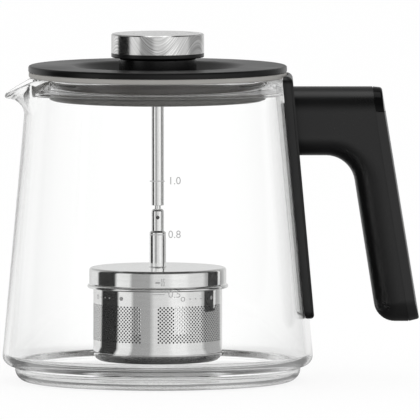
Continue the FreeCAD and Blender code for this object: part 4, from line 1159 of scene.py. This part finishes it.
def studio_ring(tree, source):
    """The brightness of STUDIO in the direction of a vector, for mirrors and softened for bent
    light, and the vector's parts."""
    split = add_node(tree, "ShaderNodeSeparateXYZ", source)
    back = math_node(tree, "MULTIPLY", split.outputs["Y"], -1.0)
    turn = math_node(tree, "ARCTAN2", split.outputs["X"], back)
    place = math_node(tree, "MULTIPLY_ADD", turn, 0.5 / math.pi, 0.5)
    ramp = add_node(tree, "ShaderNodeValToRGB", place)
    stops = ramp.color_ramp.elements
    for stop in (0, 1):
        stops[stop].color = (STUDIO[-stop][1],) * 3 + (1.0,)
    for azimuth, level in STUDIO[1:-1]:
        stops.new((azimuth + 180) / 360).color = (level, level, level, 1.0)
    ring = ramp.outputs["Color"]
    in_glass = math_node(tree, "MULTIPLY_ADD", ring, GLASS_CONTRAST, 1.0 - GLASS_CONTRAST)
    return ring, in_glass, split


def by_path(tree, mirrored, in_glass, matte, seen):
    """Brightness for what the camera sees directly or through glass, for mirrors, for bounces off
    and inside the glass, and for matte surfaces. A mirror in the jug is seen through two faces and
    sees out through two more."""
    path = tree.nodes.new("ShaderNodeLightPath")
    passed, mirrors = path.outputs["Transmission Depth"], path.outputs["Glossy Depth"]
    outside = math_node(tree, "COMPARE", passed, path.outputs["Is Singular Ray"], 0.5)
    through = math_node(tree, "COMPARE", passed, 4.0, 0.5)
    one_mirror = math_node(tree, "COMPARE", mirrors, 1.0, 0.5)
    off_metal = math_node(tree, "MULTIPLY_ADD", through, one_mirror, outside)
    bounced = blended(tree, off_metal, in_glass, mirrored)
    direct = blended(tree, math_node(tree, "MINIMUM", mirrors, 1.0), seen, bounced)
    after_matte = math_node(tree, "MINIMUM", path.outputs["Diffuse Depth"], 1.0)
    return blended(tree, after_matte, direct, matte)


def backdrop(tree, parts, length, white):
    """White straight behind the object, and darker to both sides where it is seen through glass."""
    path = tree.nodes.new("ShaderNodeLightPath")
    passed = math_node(tree, "MINIMUM", path.outputs["Transmission Depth"], 1.0)
    aside = math_node(tree, "DIVIDE", math_node(tree, "ABSOLUTE", parts.outputs["X"]), length)
    return blended(tree, passed, white, ranged(tree, aside, *BEHIND_GLASS_BY_SIDE))


def make_world():
    """White for the camera, an even level on matte faces, and the studio ring for mirrors, which
    fades upwards to a soft box overhead."""
    world = bpy.data.worlds.new("studio")
    bpy.context.scene.world = world
    world.use_nodes = True
    tree = world.node_tree
    ring, in_glass, split = studio_ring(tree, place_in(tree, "Generated"))
    low_share = ranged(tree, split.outputs["Z"], *RING_BY_HEIGHT, "LINEAR")
    high_level = ranged(tree, split.outputs["Y"], *HIGH_BY_DEPTH)
    overhead = ranged(tree, split.outputs["Z"], *OVERHEAD_BY_HEIGHT)
    around = blended(tree, low_share, high_level, ring)
    mirrored = math_node(tree, "ADD", around, overhead)
    seen = backdrop(tree, split, 1.0, 1.0)
    background = tree.nodes["Background"]
    background.inputs["Color"].default_value = WHITE
    feed(tree, background.inputs["Strength"], by_path(tree, mirrored, in_glass, MATTE_LEVEL, seen))


def make_floor():
    """A pale floor that shows as the white background and keeps a little of the shadow. Mirrors
    see the studio ring on it, with a painted shadow close to the object; glass sees a lighter one."""
    half, under = 4000.0, -0.05
    corners = [(x * half, y * half, under) for x, y in ((-1, -1), (1, -1), (1, 1), (-1, 1))]
    made = new_material("floor", (0.9, 0.9, 0.9), 0.9)
    tree = made.node_tree
    place = place_in(tree)
    ring, in_glass, split = studio_ring(tree, place)
    length = add_node(tree, "ShaderNodeVectorMath", place)
    length.operation = "LENGTH"
    away = length.outputs["Value"]
    path = tree.nodes.new("ShaderNodeLightPath")
    inside_jug = math_node(tree, "MINIMUM", path.outputs["Transmission Depth"], 1.0)
    # A painted shadow on the floor close to the object, as mirrors see it here and glass sees it
    # below.
    near = blended(tree, inside_jug, ranged(tree, away, *FLOOR_SHADOW_IN_MIRRORS),
                   ranged(tree, away, *FLOOR_SHADOW_IN_JUG_MIRRORS))
    glass_floor_shadow = ranged(tree, away, *FLOOR_SHADOW_IN_GLASS)
    level = by_path(tree, math_node(tree, "MULTIPLY", ring, near),
                    math_node(tree, "MULTIPLY", in_glass, glass_floor_shadow), FLOOR_MATTE_LEVEL,
                    backdrop(tree, split, away, FLOOR_GLOW))
    glow = add_node(tree, "ShaderNodeEmission", Strength=level)
    share = math_node(tree, "MAXIMUM", path.outputs["Glossy Depth"], FLOOR_GLOW_SHARE)
    mix = add_node(tree, "ShaderNodeMixShader", share, shader_of(made).outputs[0], glow.outputs[0])
    feed(tree, tree.nodes["Material Output"].inputs["Surface"], mix.outputs[0])
    floor = make_piece("floor", corners, [[0, 1, 2, 3]], made)


def away_from(azimuth, elevation):
    """A unit vector away from the object; azimuth in degrees from the camera's side towards +X."""
    turn, lift = math.radians(azimuth), math.radians(elevation)
    level = math.cos(lift)
    return Vector((math.sin(turn) * level, -math.cos(turn) * level, math.sin(lift)))


def placed(name, data, away, distance):
    """A lamp or camera that points at the middle of the jug from a distance in metres."""
    made = linked(name, data)
    made.location = Vector(AIM) * MM + away * distance
    made.rotation_euler = away.to_track_quat("Z", "Y").to_euler()
    return made


def make_key_light():
    """A soft square lamp that mirrors and glass don't show."""
    lamp = bpy.data.lights.new("key", "AREA")
    lamp.size = KEY_SIZE
    lamp.energy = KEY_POWER
    light = placed("key", lamp, away_from(*KEY_SIDE), KEY_DISTANCE)
    light.visible_glossy = False
    light.visible_transmission = False


def make_camera():
    lens = bpy.data.cameras.new("camera")
    lens.lens = LENS
    lens.sensor_width = SENSOR
    lens.clip_end = CLIP_END
    away = away_from(0.0, CAMERA_ELEVATION)
    bpy.context.scene.camera = placed("camera", lens, away, FIELD * LENS / SENSOR * MM)


make_world()
make_floor()
make_key_light()
make_camera()
scene = bpy.context.scene
scene.view_settings.view_transform = "Standard"
scene.cycles.max_bounces = BOUNCES
scene.cycles.transmission_bounces = GLASS_BOUNCES
scene.cycles.glossy_bounces = BOUNCES
